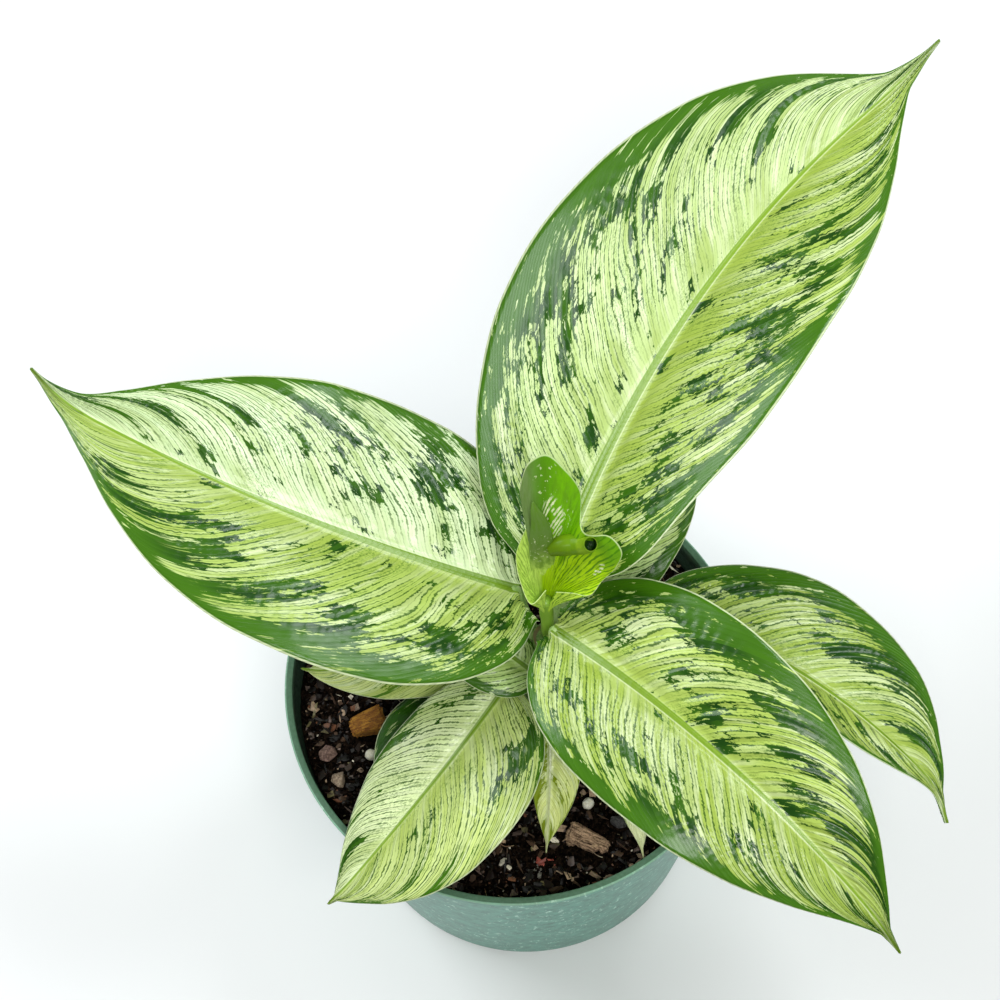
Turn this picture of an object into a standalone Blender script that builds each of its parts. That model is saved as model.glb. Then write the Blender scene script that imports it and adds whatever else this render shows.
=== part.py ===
"""A young dieffenbachia with spotted leaves, growing in its round plastic nursery pot.

Metres, +Z up. The origin is the middle of the pot's underside, and -Y is the front.
"""

import math

import bmesh
import bpy
from mathutils import Matrix, Vector, noise

MM = 0.001
GAP = 0.3 * MM

# Pot: a thin moulded cup that widens upward, with a flat lip and drain holes
POT_HEIGHT = 122 * MM
POT_RIM_RADIUS = 77.5 * MM
POT_BASE_RADIUS = 62.5 * MM
POT_WALL = 1.8 * MM
POT_LIP = 2.7 * MM
POT_LIP_DEPTH = 6 * MM
POT_EDGE_ROUND = 0.7 * MM
POT_FOOT_ROUND = 2 * MM
POT_STEPS = 56
DRAIN_HOLES = 6
DRAIN_RADIUS = 4.5 * MM
DRAIN_CIRCLE = 46 * MM

# Soil: fills the pot to a little below the lip, higher round the plant
SOIL_TOP = 108 * MM
SOIL_LUMPS = 1.6 * MM
SOIL_LUMP_SIZE = 11 * MM
SOIL_MOUND = 3 * MM
SOIL_EDGE_ROOM = 0.4 * MM
SOIL_RINGS = 11
SOIL_STEPS = 40

# Cane: the short ringed stem that every leaf grows from
CANE_FOOT = Vector((6, 0, 88)) * MM
CANE_TIP = Vector((12, -3.6, 168)) * MM
CANE_FOOT_RADIUS = 6.6 * MM
CANE_TIP_RADIUS = 4.2 * MM
CANE_RINGS = 9
CANE_RING_HEIGHT = 0.4 * MM
CANE_STEPS = 14

# Leaves: half the outline, as a share of the length against a share of the greatest half width
BLADE_OUTLINE = (
    (0.00, 0.06), (0.03, 0.42), (0.08, 0.65), (0.16, 0.845), (0.28, 0.975), (0.38, 1.00),
    (0.52, 0.96), (0.68, 0.80), (0.82, 0.53), (0.92, 0.26), (1.00, 0.045),
)
BLADE_THICKNESS = 0.8 * MM
SHOULDER_END = 0.2

# Drip tip: it starts at a share of the length, as wide as a share of the greatest half width
DRIP_START = 0.832
DRIP_WIDTH = 0.194
DRIP_CURVE = 1.3
DRIP_BLEND = 6
DRIP_TAPER = 0.75

MIDRIB_STEPS = 120
STALK_FOOT_RADIUS = 3.0 * MM
STALK_TOP_SHARE = 0.0135
STALK_TOP_LEAST = 1.1 * MM
STALK_LENGTH_UNIT = 160
STALK_SINK = 0.35
STALK_STEPS = 9
STALK_BOW = 0.36
RIB_END_RADIUS = 0.5 * MM
RIB_END = 0.9
FULL_GRID = (20, 8)
SMALL_GRID = (14, 6)
ROWS_TO_ENDS = 0.08

# Each leaf: where its blade starts and where its stalk leaves the cane (mm), length and half widths
# of the blade (mm), headings of the midrib at its start and tip (degrees), and how the blade is
# shaped: fold at the midrib and curl across (degrees), bank and twist (degrees), place of the
# greatest width, lobes at its start, drip tip and margin wave (shares of the length), and how
# much wider its left and right halves are at the shoulders.
LEAVES = {
    "leaf_01": dict(base=(17, 4.9, 200), on_cane=154, length=210, halves=(55.5, 46.5), azimuth=53,
                    bend=-32, hook=13, pitch=(18, 3.5), bank=-13, twist=20, fold=19, curl=15,
                    crown=1.2, lobe=0.034, drip=0.087, wave=0.004, shoulders=(0.1, 0.45)),
    "leaf_02": dict(base=(3.3, 5.7, 183), on_cane=150, length=166, halves=(45.5, 46), azimuth=160,
                    bend=-21.5, hook=-18, pitch=(23, 10.5), bank=1, twist=-7, fold=16.5, curl=22,
                    crown=0.94, lobe=0.052, drip=0.094, wave=0.004),
    "leaf_03": dict(base=(13.6, -9.6, 185), on_cane=144, length=145, halves=(35, 33.5), azimuth=-46.5,
                    bend=-8, hook=-5.5, pitch=(11, -31), bank=13, twist=7.5, fold=17.5, curl=20,
                    crown=0.92, lobe=0.015, drip=0.055, wave=0.006),
    "leaf_04": dict(base=(44.5, 1.9, 168), on_cane=126, length=118, halves=(32, 19), azimuth=-35.5,
                    bend=-24, hook=-30, pitch=(13.5, -26.5), bank=-25, twist=3, fold=21, curl=8,
                    crown=1.2, lobe=0.033, drip=0.074, wave=0.005),
    "leaf_05": dict(base=(-3.7, -16.3, 156), on_cane=134, length=92, halves=(31, 20.3), azimuth=-136,
                    bend=-18, hook=-4.5, pitch=(-6, -40.5), bank=4.5, twist=3, fold=16, curl=23.5,
                    crown=1.0, lobe=0.031, drip=0.038, wave=0.006),
    "leaf_06": dict(base=(10.9, -15, 144), on_cane=124, length=51.5, halves=(10.6, 6.5), azimuth=-97,
                    bend=-5.5, hook=0, pitch=(-18, -34), bank=0, twist=0, fold=14, curl=30,
                    crown=1.0, lobe=0.02, drip=0.06, wave=0.0),
    "leaf_07": dict(base=(18, 9, 156), on_cane=140, length=75, halves=(22, 20), azimuth=44,
                    bend=5, hook=2, pitch=(27.5, 4), bank=0, twist=0, fold=14, curl=29,
                    crown=1.0, lobe=0.03, drip=0.055, wave=0.006),
    "leaf_08": dict(base=(-1.5, 0.3, 140), on_cane=122, length=71, halves=(13.3, 16), azimuth=176,
                    bend=-6, hook=-16, pitch=(3, -21), bank=5.5, twist=-4, fold=16, curl=24,
                    crown=1.1, lobe=0.03, drip=0.04, wave=0.006),
    "leaf_09": dict(base=(-0.3, -14.8, 138), on_cane=118, length=66, halves=(13, 32.5), azimuth=-133,
                    bend=-5, hook=-1, pitch=(4.5, -15), bank=3, twist=-5, fold=13, curl=33,
                    crown=1.1, lobe=0.027, drip=0.053, wave=0.006),
    "leaf_10": dict(base=(6, -13, 159), on_cane=138, length=62, halves=(16, 9), azimuth=138,
                    bend=-2, hook=0, pitch=(12, -8), bank=1, twist=1, fold=14, curl=29,
                    crown=0.84, lobe=0.055, drip=0.06, wave=0.006),
    "leaf_11": dict(base=(21, -13, 138), on_cane=118, length=58, halves=(11.3, 4.5), azimuth=-72.5,
                    bend=-6.5, hook=-6, pitch=(-12, -30), bank=0, twist=0, fold=14, curl=30,
                    crown=1.0, lobe=0.02, drip=0.057, wave=0.0),
}
SMALL_LEAVES = ("leaf_06", "leaf_07", "leaf_08", "leaf_09", "leaf_10", "leaf_11")
WAVES_ALONG = 2.5

# New leaf: a funnel still half rolled, drawn by its margin, from the front slit round by the left
SHOOT_FOOT = Vector((11.6, -5.2, 195)) * MM
SHOOT_RADIUS = 2.1 * MM
SHOOT_STALK_FOOT = 168.6 * MM
SHOOT_THICKNESS = 0.8 * MM
SHOOT_MARGIN = (
    (0.4, 0, 11), (-4.2, -2.8, 8), (-7, 2.5, 13), (-7.6, 8.7, 18), (-5.2, 12, 26), (-4.6, 17, 36),
    (-4, 20, 45), (-1, 23.6, 51), (3.4, 25.2, 52), (9.2, 21, 48), (12.6, 17.8, 42),
    (13.5, 11.5, 32), (17.1, 8.8, 29), (20.7, 7.1, 29), (23.6, 3, 26), (21.8, 0.7, 22),
    (17, -1.5, 16.5), (13.3, -3.9, 13), (8.1, -1.8, 11), (3.3, -0.5, 10),
)
SHOOT_START_ANGLE = -108
SHOOT_SWEEP = -324
SHOOT_RING_DROP = 1.2
SHOOT_RING_SHARE = 0.8
SHOOT_STALK_RISE = 3 * MM
SHOOT_STALK_STEPS = 4
SHOOT_ROWS = 5
SHOOT_FLARE = 1.35
SHOOT_RISE = 0.85

# Its rolled margin: (place, radius) in mm from the funnel's foot, from the notch to the open end
ROLL_LINE = (
    ((-1.8, 14.6, 39.5), 1.3), ((-0.6, 12.6, 34), 2.3), ((1, 10.8, 29.5), 3), ((4.6, 8.8, 26), 3.1),
    ((9, 7.8, 25.4), 3.1), ((12.6, 6.8, 26.4), 3), ((14.8, 5.3, 28.6), 2.7),
)

# Loose bits on the soil: (x, y), length, width and height in mm, and turn in degrees
CHIPS = {
    "bark_chip": dict(at=(18.6, -54.5), size=(15.5, 8.5, 3.2), turn=-28, colour=(0.17, 0.085, 0.045)),
    "bark_chunk": dict(at=(-51, -6.5), size=(13, 9, 6), turn=15, colour=(0.24, 0.095, 0.025)),
    "stone_01": dict(at=(-65.3, -15.5), size=(6.5, 5, 4), turn=40, colour=(0.20, 0.17, 0.14)),
    "stone_02": dict(at=(-62.3, -25), size=(6, 4.5, 3.2), turn=80, colour=(0.26, 0.20, 0.14)),
    "stone_03": dict(at=(30, -49), size=(7, 5.5, 4), turn=10, colour=(0.10, 0.095, 0.09)),
    "prill_01": dict(at=(-50.8, -17.5), size=(4, 3.8, 3.6), turn=0, colour=(0.72, 0.66, 0.50)),
    "prill_02": dict(at=(20, -42), size=(4.2, 3.8, 3.6), turn=30, colour=(0.74, 0.68, 0.54)),
}
CHIP_ROUGHNESS = 0.24
CHIP_LUMP_SIZE = 2.4
CHIP_BED = 0.4
CHIP_REST = 6 * MM

LEAF_COLOUR = (0.33, 0.52, 0.13)
SHOOT_COLOUR = (0.36, 0.60, 0.05)
CANE_COLOUR = (0.16, 0.28, 0.06)
POT_COLOUR = (0.10, 0.26, 0.19)
SOIL_COLOUR = (0.035, 0.022, 0.015)


def clear_scene():
    for obj in list(bpy.data.objects):
        bpy.data.objects.remove(obj)


def new_collection(name):
    collection = bpy.data.collections.new(name)
    bpy.context.scene.collection.children.link(collection)
    return collection


def material(name, colour, roughness):
    made = bpy.data.materials.new(name)
    made.use_nodes = True
    shader = made.node_tree.nodes["Principled BSDF"]
    shader.inputs["Base Color"].default_value = (*colour, 1)
    shader.inputs["Roughness"].default_value = roughness
    shader.inputs["Metallic"].default_value = 0
    return made


def add_object(name, mesh, collection, finish=None):
    obj = bpy.data.objects.new(name, mesh)
    collection.objects.link(obj)
    if finish:
        mesh.materials.append(finish)
        mesh.shade_smooth()
        mesh.set_sharp_from_angle(angle=math.radians(40))
    return obj


def mesh_from(bm, name):
    mesh = bpy.data.meshes.new(name)
    bm.to_mesh(mesh)
    bm.free()
    return mesh


def hide_cutter(obj):
    obj.hide_render = True
    obj.display_type = "WIRE"


def applied(obj, name):
    """The mesh of an object as its modifiers leave it, in world space; the object is removed."""
    graph = bpy.context.evaluated_depsgraph_get()
    mesh = bpy.data.meshes.new_from_object(obj.evaluated_get(graph))
    mesh.transform(obj.matrix_world)
    mesh.name = name
    bpy.data.objects.remove(obj)
    return mesh


def boolean(obj, other, operation):
    step = obj.modifiers.new(f"{operation.lower()} {other.name}", "BOOLEAN")
    step.operation = operation
    step.solver = "EXACT"
    step.object = other


def turned(name, profile, steps, collection):
    """A solid turned round Z from (radius, height) points that run down the outer side."""
    bm = bmesh.new()
    points = [bm.verts.new((radius, 0, height)) for radius, height in profile]
    for start, end in zip(points, points[1:]):
        bm.edges.new((start, end))
    obj = add_object(name, mesh_from(bm, name), collection)
    screw = obj.modifiers.new("turn", "SCREW")
    screw.steps = screw.render_steps = steps
    screw.use_merge_vertices = True
    screw.merge_threshold = 0.00001
    return obj


def ease(low, high, value):
    share = min(max((value - low) / (high - low), 0), 1)
    return share * share * (3 - 2 * share)


def smooth_through(stations, value):
    """Height of a smooth curve through (place, height) stations, with no bumps between them."""
    steps = [(b[1] - a[1]) / (b[0] - a[0]) for a, b in zip(stations, stations[1:])]
    slopes = [steps[0]]
    for index, (before, after) in enumerate(zip(steps, steps[1:])):
        left = stations[index + 1][0] - stations[index][0]
        right = stations[index + 2][0] - stations[index + 1][0]
        near, far = 2 * right + left, right + 2 * left
        flat = before * after <= 0
        slopes.append(0 if flat else (near + far) / (near / before + far / after))
    slopes.append(steps[-1])
    index = max(i for i in range(len(steps)) if i == 0 or stations[i][0] <= value)
    (x0, y0), (x1, y1) = stations[index], stations[index + 1]
    t = (value - x0) / (x1 - x0)
    bow = (1 - t) * slopes[index] - t * slopes[index + 1] + (2 * t - 1) * steps[index]
    return y0 + (y1 - y0) * t + t * (1 - t) * (x1 - x0) * bow


def heading(leaf, u):
    """Direction of the midrib at a share u of its length."""
    first, last = leaf["pitch"]
    pitch = math.radians(first + (last - first) * u)
    turn = leaf["azimuth"] + leaf["bend"] * (u - 0.3) + leaf["hook"] * ease(0.82, 1, u)
    turn = math.radians(turn)
    level = math.cos(pitch)
    return Vector((level * math.cos(turn), level * math.sin(turn), math.sin(pitch)))


def midrib(leaf):
    """Points of the midrib at even steps of its length, summed from its headings."""
    point = Vector(leaf["base"]) * MM
    points = [point]
    for step in range(MIDRIB_STEPS):
        point = point + heading(leaf, (step + 0.5) / MIDRIB_STEPS) * leaf["length"] * MM / MIDRIB_STEPS
        points.append(point)
    return points


def midrib_frame(leaf, line, u):
    """Place, direction, left side and upper side of the blade at a share u of its length."""
    place = u * MIDRIB_STEPS
    index = min(int(place), MIDRIB_STEPS - 1)
    point = line[index].lerp(line[index + 1], place - index)
    along = heading(leaf, u)
    side = Vector((0, 0, 1)).cross(along).normalized()
    up = along.cross(side)
    bank = Matrix.Rotation(math.radians(leaf["bank"] + leaf["twist"] * (u - 0.3)), 3, along)
    return point, along, bank @ side, bank @ up


def half_width(leaf, side, u):
    """Half width at a share u: the oval body, which runs out smoothly into the drip tip."""
    index = 0 if side > 0 else 1
    end = 1 - leaf["drip"]
    tail = max((u - end) / leaf["drip"], 0)
    body = smooth_through(BLADE_OUTLINE, min(u / end, 1) ** leaf["crown"]) * (1 - DRIP_TAPER * tail)
    drip = DRIP_WIDTH * min((1 - u) / (1 - DRIP_START), 1) ** DRIP_CURVE
    share = (body**DRIP_BLEND + drip**DRIP_BLEND) ** (1 / DRIP_BLEND)
    shoulder = leaf.get("shoulders", (0, 0))[index] * (1 - min(u / SHOULDER_END, 1)) ** 2
    return leaf["halves"][index] * MM * share * (1 + shoulder)


def blade_point(leaf, line, u, v):
    """A point of the blade: u runs from its start to its tip, v from -1, the right margin, to 1."""
    point, along, side, up = midrib_frame(leaf, line, u)
    way = 1 if v >= 0 else -1
    reach = abs(v)
    width = half_width(leaf, way, u)
    fold = math.radians(leaf["fold"])
    curl = math.radians(leaf["curl"])
    across = width * (math.sin(fold) - math.sin(fold - curl * reach)) / curl
    lift = width * (math.cos(fold - curl * reach) - math.cos(fold)) / curl
    length = leaf["length"] * MM
    phase = 1.9 if way > 0 else 0.3
    ripple = math.sin(2 * math.pi * WAVES_ALONG * u + phase) * math.sin(math.pi * u)
    lift += leaf["wave"] * length * reach**2 * ripple
    back = leaf["lobe"] * length * reach**1.6 * (1 - u) ** 5
    return point + side * way * across + up * lift - along * back


def stalk_points(leaf, line):
    """(point, radius) down the leaf stalk, from inside the cane, and on along the midrib."""
    start = CANE_FOOT.lerp(CANE_TIP, (leaf["on_cane"] * MM - CANE_FOOT.z) / (CANE_TIP.z - CANE_FOOT.z))
    end, along, _, up = midrib_frame(leaf, line, 0)
    outward = Vector((end.x - start.x, end.y - start.y, 0)).normalized()
    upward = Vector((0, 0, 1))
    reach = STALK_BOW * (end - start).length
    first = start + (outward * 0.7 + upward * 0.7) * reach
    second = end - (along * 0.15 + upward * 0.9) * reach
    top_radius = max(leaf["length"] * STALK_TOP_SHARE * MM, STALK_TOP_LEAST)
    stoutness = 0.55 + 0.45 * leaf["length"] / STALK_LENGTH_UNIT
    foot_radius = max(top_radius, STALK_FOOT_RADIUS * stoutness)
    points = []
    for step in range(STALK_STEPS):
        t = step / STALK_STEPS
        s = 1 - t
        place = start * s**3 + first * 3 * t * s**2 + second * 3 * t**2 * s + end * t**3
        radius = foot_radius + (top_radius - foot_radius) * t
        points.append((place - up * radius * STALK_SINK * t, radius))
    for step in range(STALK_STEPS):
        u = RIB_END * step / (STALK_STEPS - 1)
        place, _, _, up = midrib_frame(leaf, line, u)
        radius = top_radius + (RIB_END_RADIUS - top_radius) * (u / RIB_END) ** 0.7
        points.append((place - up * radius * STALK_SINK, radius))
    return points


def tube(name, points, collection):
    """A tube through (point, radius) pairs, as a closed mesh."""
    curve = bpy.data.curves.new(name, "CURVE")
    curve.dimensions = "3D"
    curve.bevel_depth = 1
    curve.bevel_resolution = 1
    curve.use_fill_caps = True
    spline = curve.splines.new("POLY")
    spline.points.add(len(points) - 1)
    for knot, (place, radius) in zip(spline.points, points):
        knot.co = (*place, 1)
        knot.radius = radius
    obj = add_object(name, curve, collection)
    bpy.context.view_layer.update()
    bm = bmesh.new()
    bm.from_mesh(applied(obj, name))
    bmesh.ops.remove_doubles(bm, verts=bm.verts, dist=0.000001)
    bmesh.ops.recalc_face_normals(bm, faces=bm.faces)
    return add_object(name, mesh_from(bm, name), collection)


def add_blade(name, leaf, line, grid, collection, finish):
    """The thin blade: a grid shaped by blade_point, its squares cut alike, then thickened."""
    along_steps, across_steps = grid
    bm = bmesh.new()
    bmesh.ops.create_grid(bm, x_segments=along_steps, y_segments=across_steps, size=0.5)
    for vert in bm.verts:
        u = vert.co.x + 0.5
        u -= ROWS_TO_ENDS * math.sin(2 * math.pi * u)
        vert.co = blade_point(leaf, line, u, 2 * vert.co.y)
    bmesh.ops.triangulate(bm, faces=bm.faces, quad_method="FIXED")
    blade = add_object(name, mesh_from(bm, name), collection, finish)
    shell = blade.modifiers.new("thickness", "SOLIDIFY")
    shell.thickness = BLADE_THICKNESS
    shell.offset = 0
    return blade


def add_leaf(name, leaf, cane_room, parts, cutters, finish):
    """Blade, midrib and stalk as one piece, its stalk cut to sit against the cane."""
    line = midrib(leaf)
    small = name in SMALL_LEAVES
    blade = add_blade(name, leaf, line, SMALL_GRID if small else FULL_GRID, parts, finish)
    stalk = tube(f"{name}_stalk", stalk_points(leaf, line), cutters)
    hide_cutter(stalk)
    boolean(blade, stalk, "UNION")
    boolean(blade, cane_room, "DIFFERENCE")


def shoot_point(column, t):
    """A point of the funnel: t runs from the ring on its stalk to a point of its margin."""
    angle = math.radians(SHOOT_START_ANGLE + SHOOT_SWEEP * column / (len(SHOOT_MARGIN) - 1))
    ring = Vector((math.cos(angle), math.sin(angle), -SHOOT_RING_DROP))
    ring *= SHOOT_RADIUS * SHOOT_RING_SHARE
    margin = Vector(SHOOT_MARGIN[column]) * MM
    place = ring.lerp(margin, t**SHOOT_FLARE)
    place.z = ring.z + (margin.z - ring.z) * t**SHOOT_RISE
    return SHOOT_FOOT + place


def add_new_leaf(parts, cutters):
    """The half rolled leaf: a thin funnel, with its rolled margin and its stalk fused on."""
    bm = bmesh.new()
    columns = len(SHOOT_MARGIN)
    bmesh.ops.create_grid(bm, x_segments=columns - 1, y_segments=SHOOT_ROWS, size=0.5)
    for vert in bm.verts:
        column = round((vert.co.x + 0.5) * (columns - 1))
        vert.co = shoot_point(column, vert.co.y + 0.5)
    bmesh.ops.recalc_face_normals(bm, faces=bm.faces)
    mesh = mesh_from(bm, "new_leaf")
    leaf = add_object("new_leaf", mesh, parts, material("young leaf", SHOOT_COLOUR, 0.35))
    smooth = leaf.modifiers.new("smooth", "SUBSURF")
    smooth.levels = smooth.render_levels = 1
    split = leaf.modifiers.new("split", "TRIANGULATE")
    split.quad_method = "FIXED"
    shell = leaf.modifiers.new("thickness", "SOLIDIFY")
    shell.thickness = SHOOT_THICKNESS
    shell.offset = 0
    foot = Vector((CANE_TIP.x, CANE_TIP.y, SHOOT_STALK_FOOT))
    top = SHOOT_FOOT + Vector((0, 0, SHOOT_STALK_RISE))
    shares = [step / SHOOT_STALK_STEPS for step in range(SHOOT_STALK_STEPS + 1)]
    stalk = [(foot.lerp(top, share), SHOOT_RADIUS) for share in shares]
    roll = [(SHOOT_FOOT + Vector(place) * MM, radius * MM) for place, radius in ROLL_LINE]
    for name, points in (("new_leaf_stalk", stalk), ("new_leaf_roll", roll)):
        other = tube(name, points, cutters)
        hide_cutter(other)
        boolean(leaf, other, "UNION")


def cane_profile(extra):
    """The cane's (radius, height) profile, tip first, with a raised ring at each leaf scar."""
    height = (CANE_TIP - CANE_FOOT).length
    profile = [(0, height + extra)]
    steps = CANE_RINGS * 3
    for step in range(steps + 1):
        t = step / steps
        radius = CANE_TIP_RADIUS + (CANE_FOOT_RADIUS - CANE_TIP_RADIUS) * t**0.7
        ring = CANE_RING_HEIGHT if step % 3 == 1 else 0
        profile.append((radius + (CANE_RING_HEIGHT if extra else ring) + extra, height * (1 - t)))
    profile[1] = (profile[1][0], height + extra)
    profile[-1] = (profile[-1][0], -extra)
    profile.append((0, -extra))
    return profile


def add_cane(name, extra, collection):
    """The cane, or with some extra all round the room that its neighbours leave it."""
    cane = turned(name, cane_profile(extra), CANE_STEPS, collection)
    cane.location = CANE_FOOT
    cane.rotation_mode = "QUATERNION"
    cane.rotation_quaternion = (CANE_TIP - CANE_FOOT).to_track_quat("Z", "Y")
    return cane


def pot_radius(height):
    return POT_BASE_RADIUS + (POT_RIM_RADIUS - POT_BASE_RADIUS) * height / POT_HEIGHT


def add_pot(parts, cutters):
    lip_foot = POT_HEIGHT - POT_LIP_DEPTH
    inner_lip = POT_RIM_RADIUS - POT_LIP
    edge = POT_EDGE_ROUND
    foot = POT_FOOT_ROUND
    profile = [
        (0, POT_WALL),
        (pot_radius(0) - POT_WALL - foot, POT_WALL),
        (pot_radius(0) - POT_WALL, POT_WALL + foot),
        (pot_radius(lip_foot) - POT_WALL, lip_foot - 1 * MM),
        (inner_lip, lip_foot),
        (inner_lip, POT_HEIGHT - edge),
        (inner_lip + edge, POT_HEIGHT),
        (POT_RIM_RADIUS - edge, POT_HEIGHT),
        (POT_RIM_RADIUS, POT_HEIGHT - edge),
        (pot_radius(foot), foot),
        (pot_radius(0) - 0.3 * foot, 0.25 * foot),
        (pot_radius(0) - foot, 0),
        (0, 0),
    ]
    pot = turned("pot", profile, POT_STEPS, parts)
    pot.data.materials.append(material("pot plastic", POT_COLOUR, 0.45))
    pot.data.shade_smooth()
    for index in range(DRAIN_HOLES):
        angle = 2 * math.pi * (index + 0.5) / DRAIN_HOLES
        bm = bmesh.new()
        bmesh.ops.create_cone(
            bm, cap_ends=True, segments=16, radius1=DRAIN_RADIUS, radius2=DRAIN_RADIUS, depth=4 * POT_WALL
        )
        hole = add_object(f"drain_{index + 1}", mesh_from(bm, "drain"), cutters)
        hole.location = (DRAIN_CIRCLE * math.cos(angle), DRAIN_CIRCLE * math.sin(angle), 0)
        hide_cutter(hole)
        boolean(pot, hole, "DIFFERENCE")


def soil_height(x, y):
    """Height of the lumpy soil, with a mound round the cane and a level bed under each loose bit."""
    place = Vector((x, y, 0)) / SOIL_LUMP_SIZE
    height = SOIL_TOP + SOIL_LUMPS * (noise.noise(place) + 0.5 * noise.noise(place * 2.3))
    height += SOIL_MOUND * (1 - ease(8 * MM, 40 * MM, (Vector((x, y)) - CANE_FOOT.xy).length))
    for chip in CHIPS.values():
        reach = chip["size"][0] / 2 * MM
        away = (Vector((x, y)) - Vector(chip["at"]) * MM).length
        height += (SOIL_TOP - height) * (1 - ease(reach + CHIP_REST, reach + 2 * CHIP_REST, away))
    return height


def add_soil(parts, cane_room):
    edge = pot_radius(SOIL_TOP) - POT_WALL - GAP
    floor_edge = pot_radius(0) - POT_WALL - GAP
    top = [(edge * step / SOIL_RINGS, SOIL_TOP) for step in range(SOIL_RINGS + 1)]
    foot = POT_WALL + GAP
    corner = POT_FOOT_ROUND + GAP
    side = [(floor_edge, foot + corner), (floor_edge - corner, foot), (0, foot)]
    soil = applied(turned("soil", top + side, SOIL_STEPS, parts), "soil")
    for vert in soil.vertices:
        if vert.co.z > SOIL_TOP - SOIL_LUMPS:
            vert.co.z = soil_height(vert.co.x, vert.co.y)
            inner = pot_radius(vert.co.z) - POT_WALL - GAP - SOIL_EDGE_ROOM
            out = max(vert.co.xy.length / inner, 1)
            vert.co.x /= out
            vert.co.y /= out
    obj = add_object("soil", soil, parts, material("soil", SOIL_COLOUR, 0.95))
    boolean(obj, cane_room, "DIFFERENCE")


def add_chip(name, chip, parts):
    """A loose bit of bark, stone or feed, flat underneath where it lies on its bed of soil."""
    bm = bmesh.new()
    bmesh.ops.create_icosphere(bm, subdivisions=2, radius=0.5)
    rough = 0 if name.startswith("prill") else CHIP_ROUGHNESS
    seed = Vector((len(name), chip["at"][0], chip["at"][1]))
    for vert in bm.verts:
        vert.co *= 1 + rough * noise.noise(vert.co * CHIP_LUMP_SIZE + seed)
        vert.co.z = max(vert.co.z, -CHIP_BED) + CHIP_BED
    bmesh.ops.delete(bm, geom=bm.edges, context="EDGES_FACES")
    hull = bmesh.ops.convex_hull(bm, input=bm.verts)
    bmesh.ops.delete(bm, geom=hull["geom_interior"], context="VERTS")
    length, width, height = chip["size"]
    size = Vector((length, width, height)) * MM
    bmesh.ops.scale(bm, vec=size, verts=bm.verts)
    mesh = mesh_from(bm, name)
    obj = add_object(name, mesh, parts, material(name, chip["colour"], 0.8))
    obj.location = (chip["at"][0] * MM, chip["at"][1] * MM, SOIL_TOP + GAP)
    obj.rotation_euler = (0, 0, math.radians(chip["turn"]))


def build():
    clear_scene()
    parts = new_collection("potted_dieffenbachia")
    cutters = new_collection("cutters")
    cane_room = add_cane("cane_room", GAP, cutters)
    hide_cutter(cane_room)
    add_pot(parts, cutters)
    add_soil(parts, cane_room)
    cane = add_cane("cane", 0, parts)
    cane.data.materials.append(material("cane", CANE_COLOUR, 0.5))
    cane.data.shade_smooth()
    leaf_finish = material("spotted leaf", LEAF_COLOUR, 0.32)
    for name, leaf in LEAVES.items():
        add_leaf(name, leaf, cane_room, parts, cutters, leaf_finish)
    add_new_leaf(parts, cutters)
    for name, chip in CHIPS.items():
        add_chip(name, chip, parts)


build()
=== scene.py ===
"""The looks of a young dieffenbachia with spotted leaves, growing in its round nursery pot.

Metres, +Z up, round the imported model. The sections follow the plant as it is potted:
pot, soil, loose bits, cane, spotted leaves and the new leaf that is still rolled.
"""

import math

import bmesh
import bpy
import numpy as np
from mathutils import Matrix, Vector, noise


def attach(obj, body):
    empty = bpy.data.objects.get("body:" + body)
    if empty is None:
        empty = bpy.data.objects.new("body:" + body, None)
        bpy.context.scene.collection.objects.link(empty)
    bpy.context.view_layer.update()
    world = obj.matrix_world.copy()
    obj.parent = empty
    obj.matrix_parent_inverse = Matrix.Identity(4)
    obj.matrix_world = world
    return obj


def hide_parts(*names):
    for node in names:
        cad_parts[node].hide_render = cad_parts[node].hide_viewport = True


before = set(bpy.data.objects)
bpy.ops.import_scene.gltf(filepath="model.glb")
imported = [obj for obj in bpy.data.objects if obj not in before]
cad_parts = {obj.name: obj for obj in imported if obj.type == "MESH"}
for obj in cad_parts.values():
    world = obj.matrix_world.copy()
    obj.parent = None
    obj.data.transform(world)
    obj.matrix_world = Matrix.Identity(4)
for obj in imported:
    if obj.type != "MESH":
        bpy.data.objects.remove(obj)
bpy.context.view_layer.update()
MM = 0.001


# Camera
# The photograph looks down on the plant from a hand held a little above it, in front of the
# pot: 64 degrees above the table, tipped a few degrees, at about 0.7 m.
VIEW_ELEVATION = math.radians(64.4)
VIEW_ROLL = math.radians(-5.75)
VIEW_AIM = Vector((0.001, 0.029, 0.2))
VIEW_DISTANCE = 0.686
VIEW_LENS = 80


def new_object(name, data):
    obj = bpy.data.objects.new(name, data)
    bpy.context.scene.collection.objects.link(obj)
    return obj


back = Vector((0, -math.cos(VIEW_ELEVATION), math.sin(VIEW_ELEVATION)))
level_up = Vector((0, math.sin(VIEW_ELEVATION), math.cos(VIEW_ELEVATION)))
right = Vector((1, 0, 0)) * math.cos(VIEW_ROLL) + level_up * math.sin(VIEW_ROLL)
turn = Matrix((right, back.cross(right), back)).transposed().to_4x4()
camera = new_object("camera", bpy.data.cameras.new("camera"))
camera.data.lens = VIEW_LENS
camera.data.sensor_width = 36
camera.data.clip_end = 20
camera.matrix_world = Matrix.Translation(VIEW_AIM + back * VIEW_DISTANCE) @ turn
bpy.context.scene.camera = camera
bpy.context.scene.view_settings.view_transform = "Standard"


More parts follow.
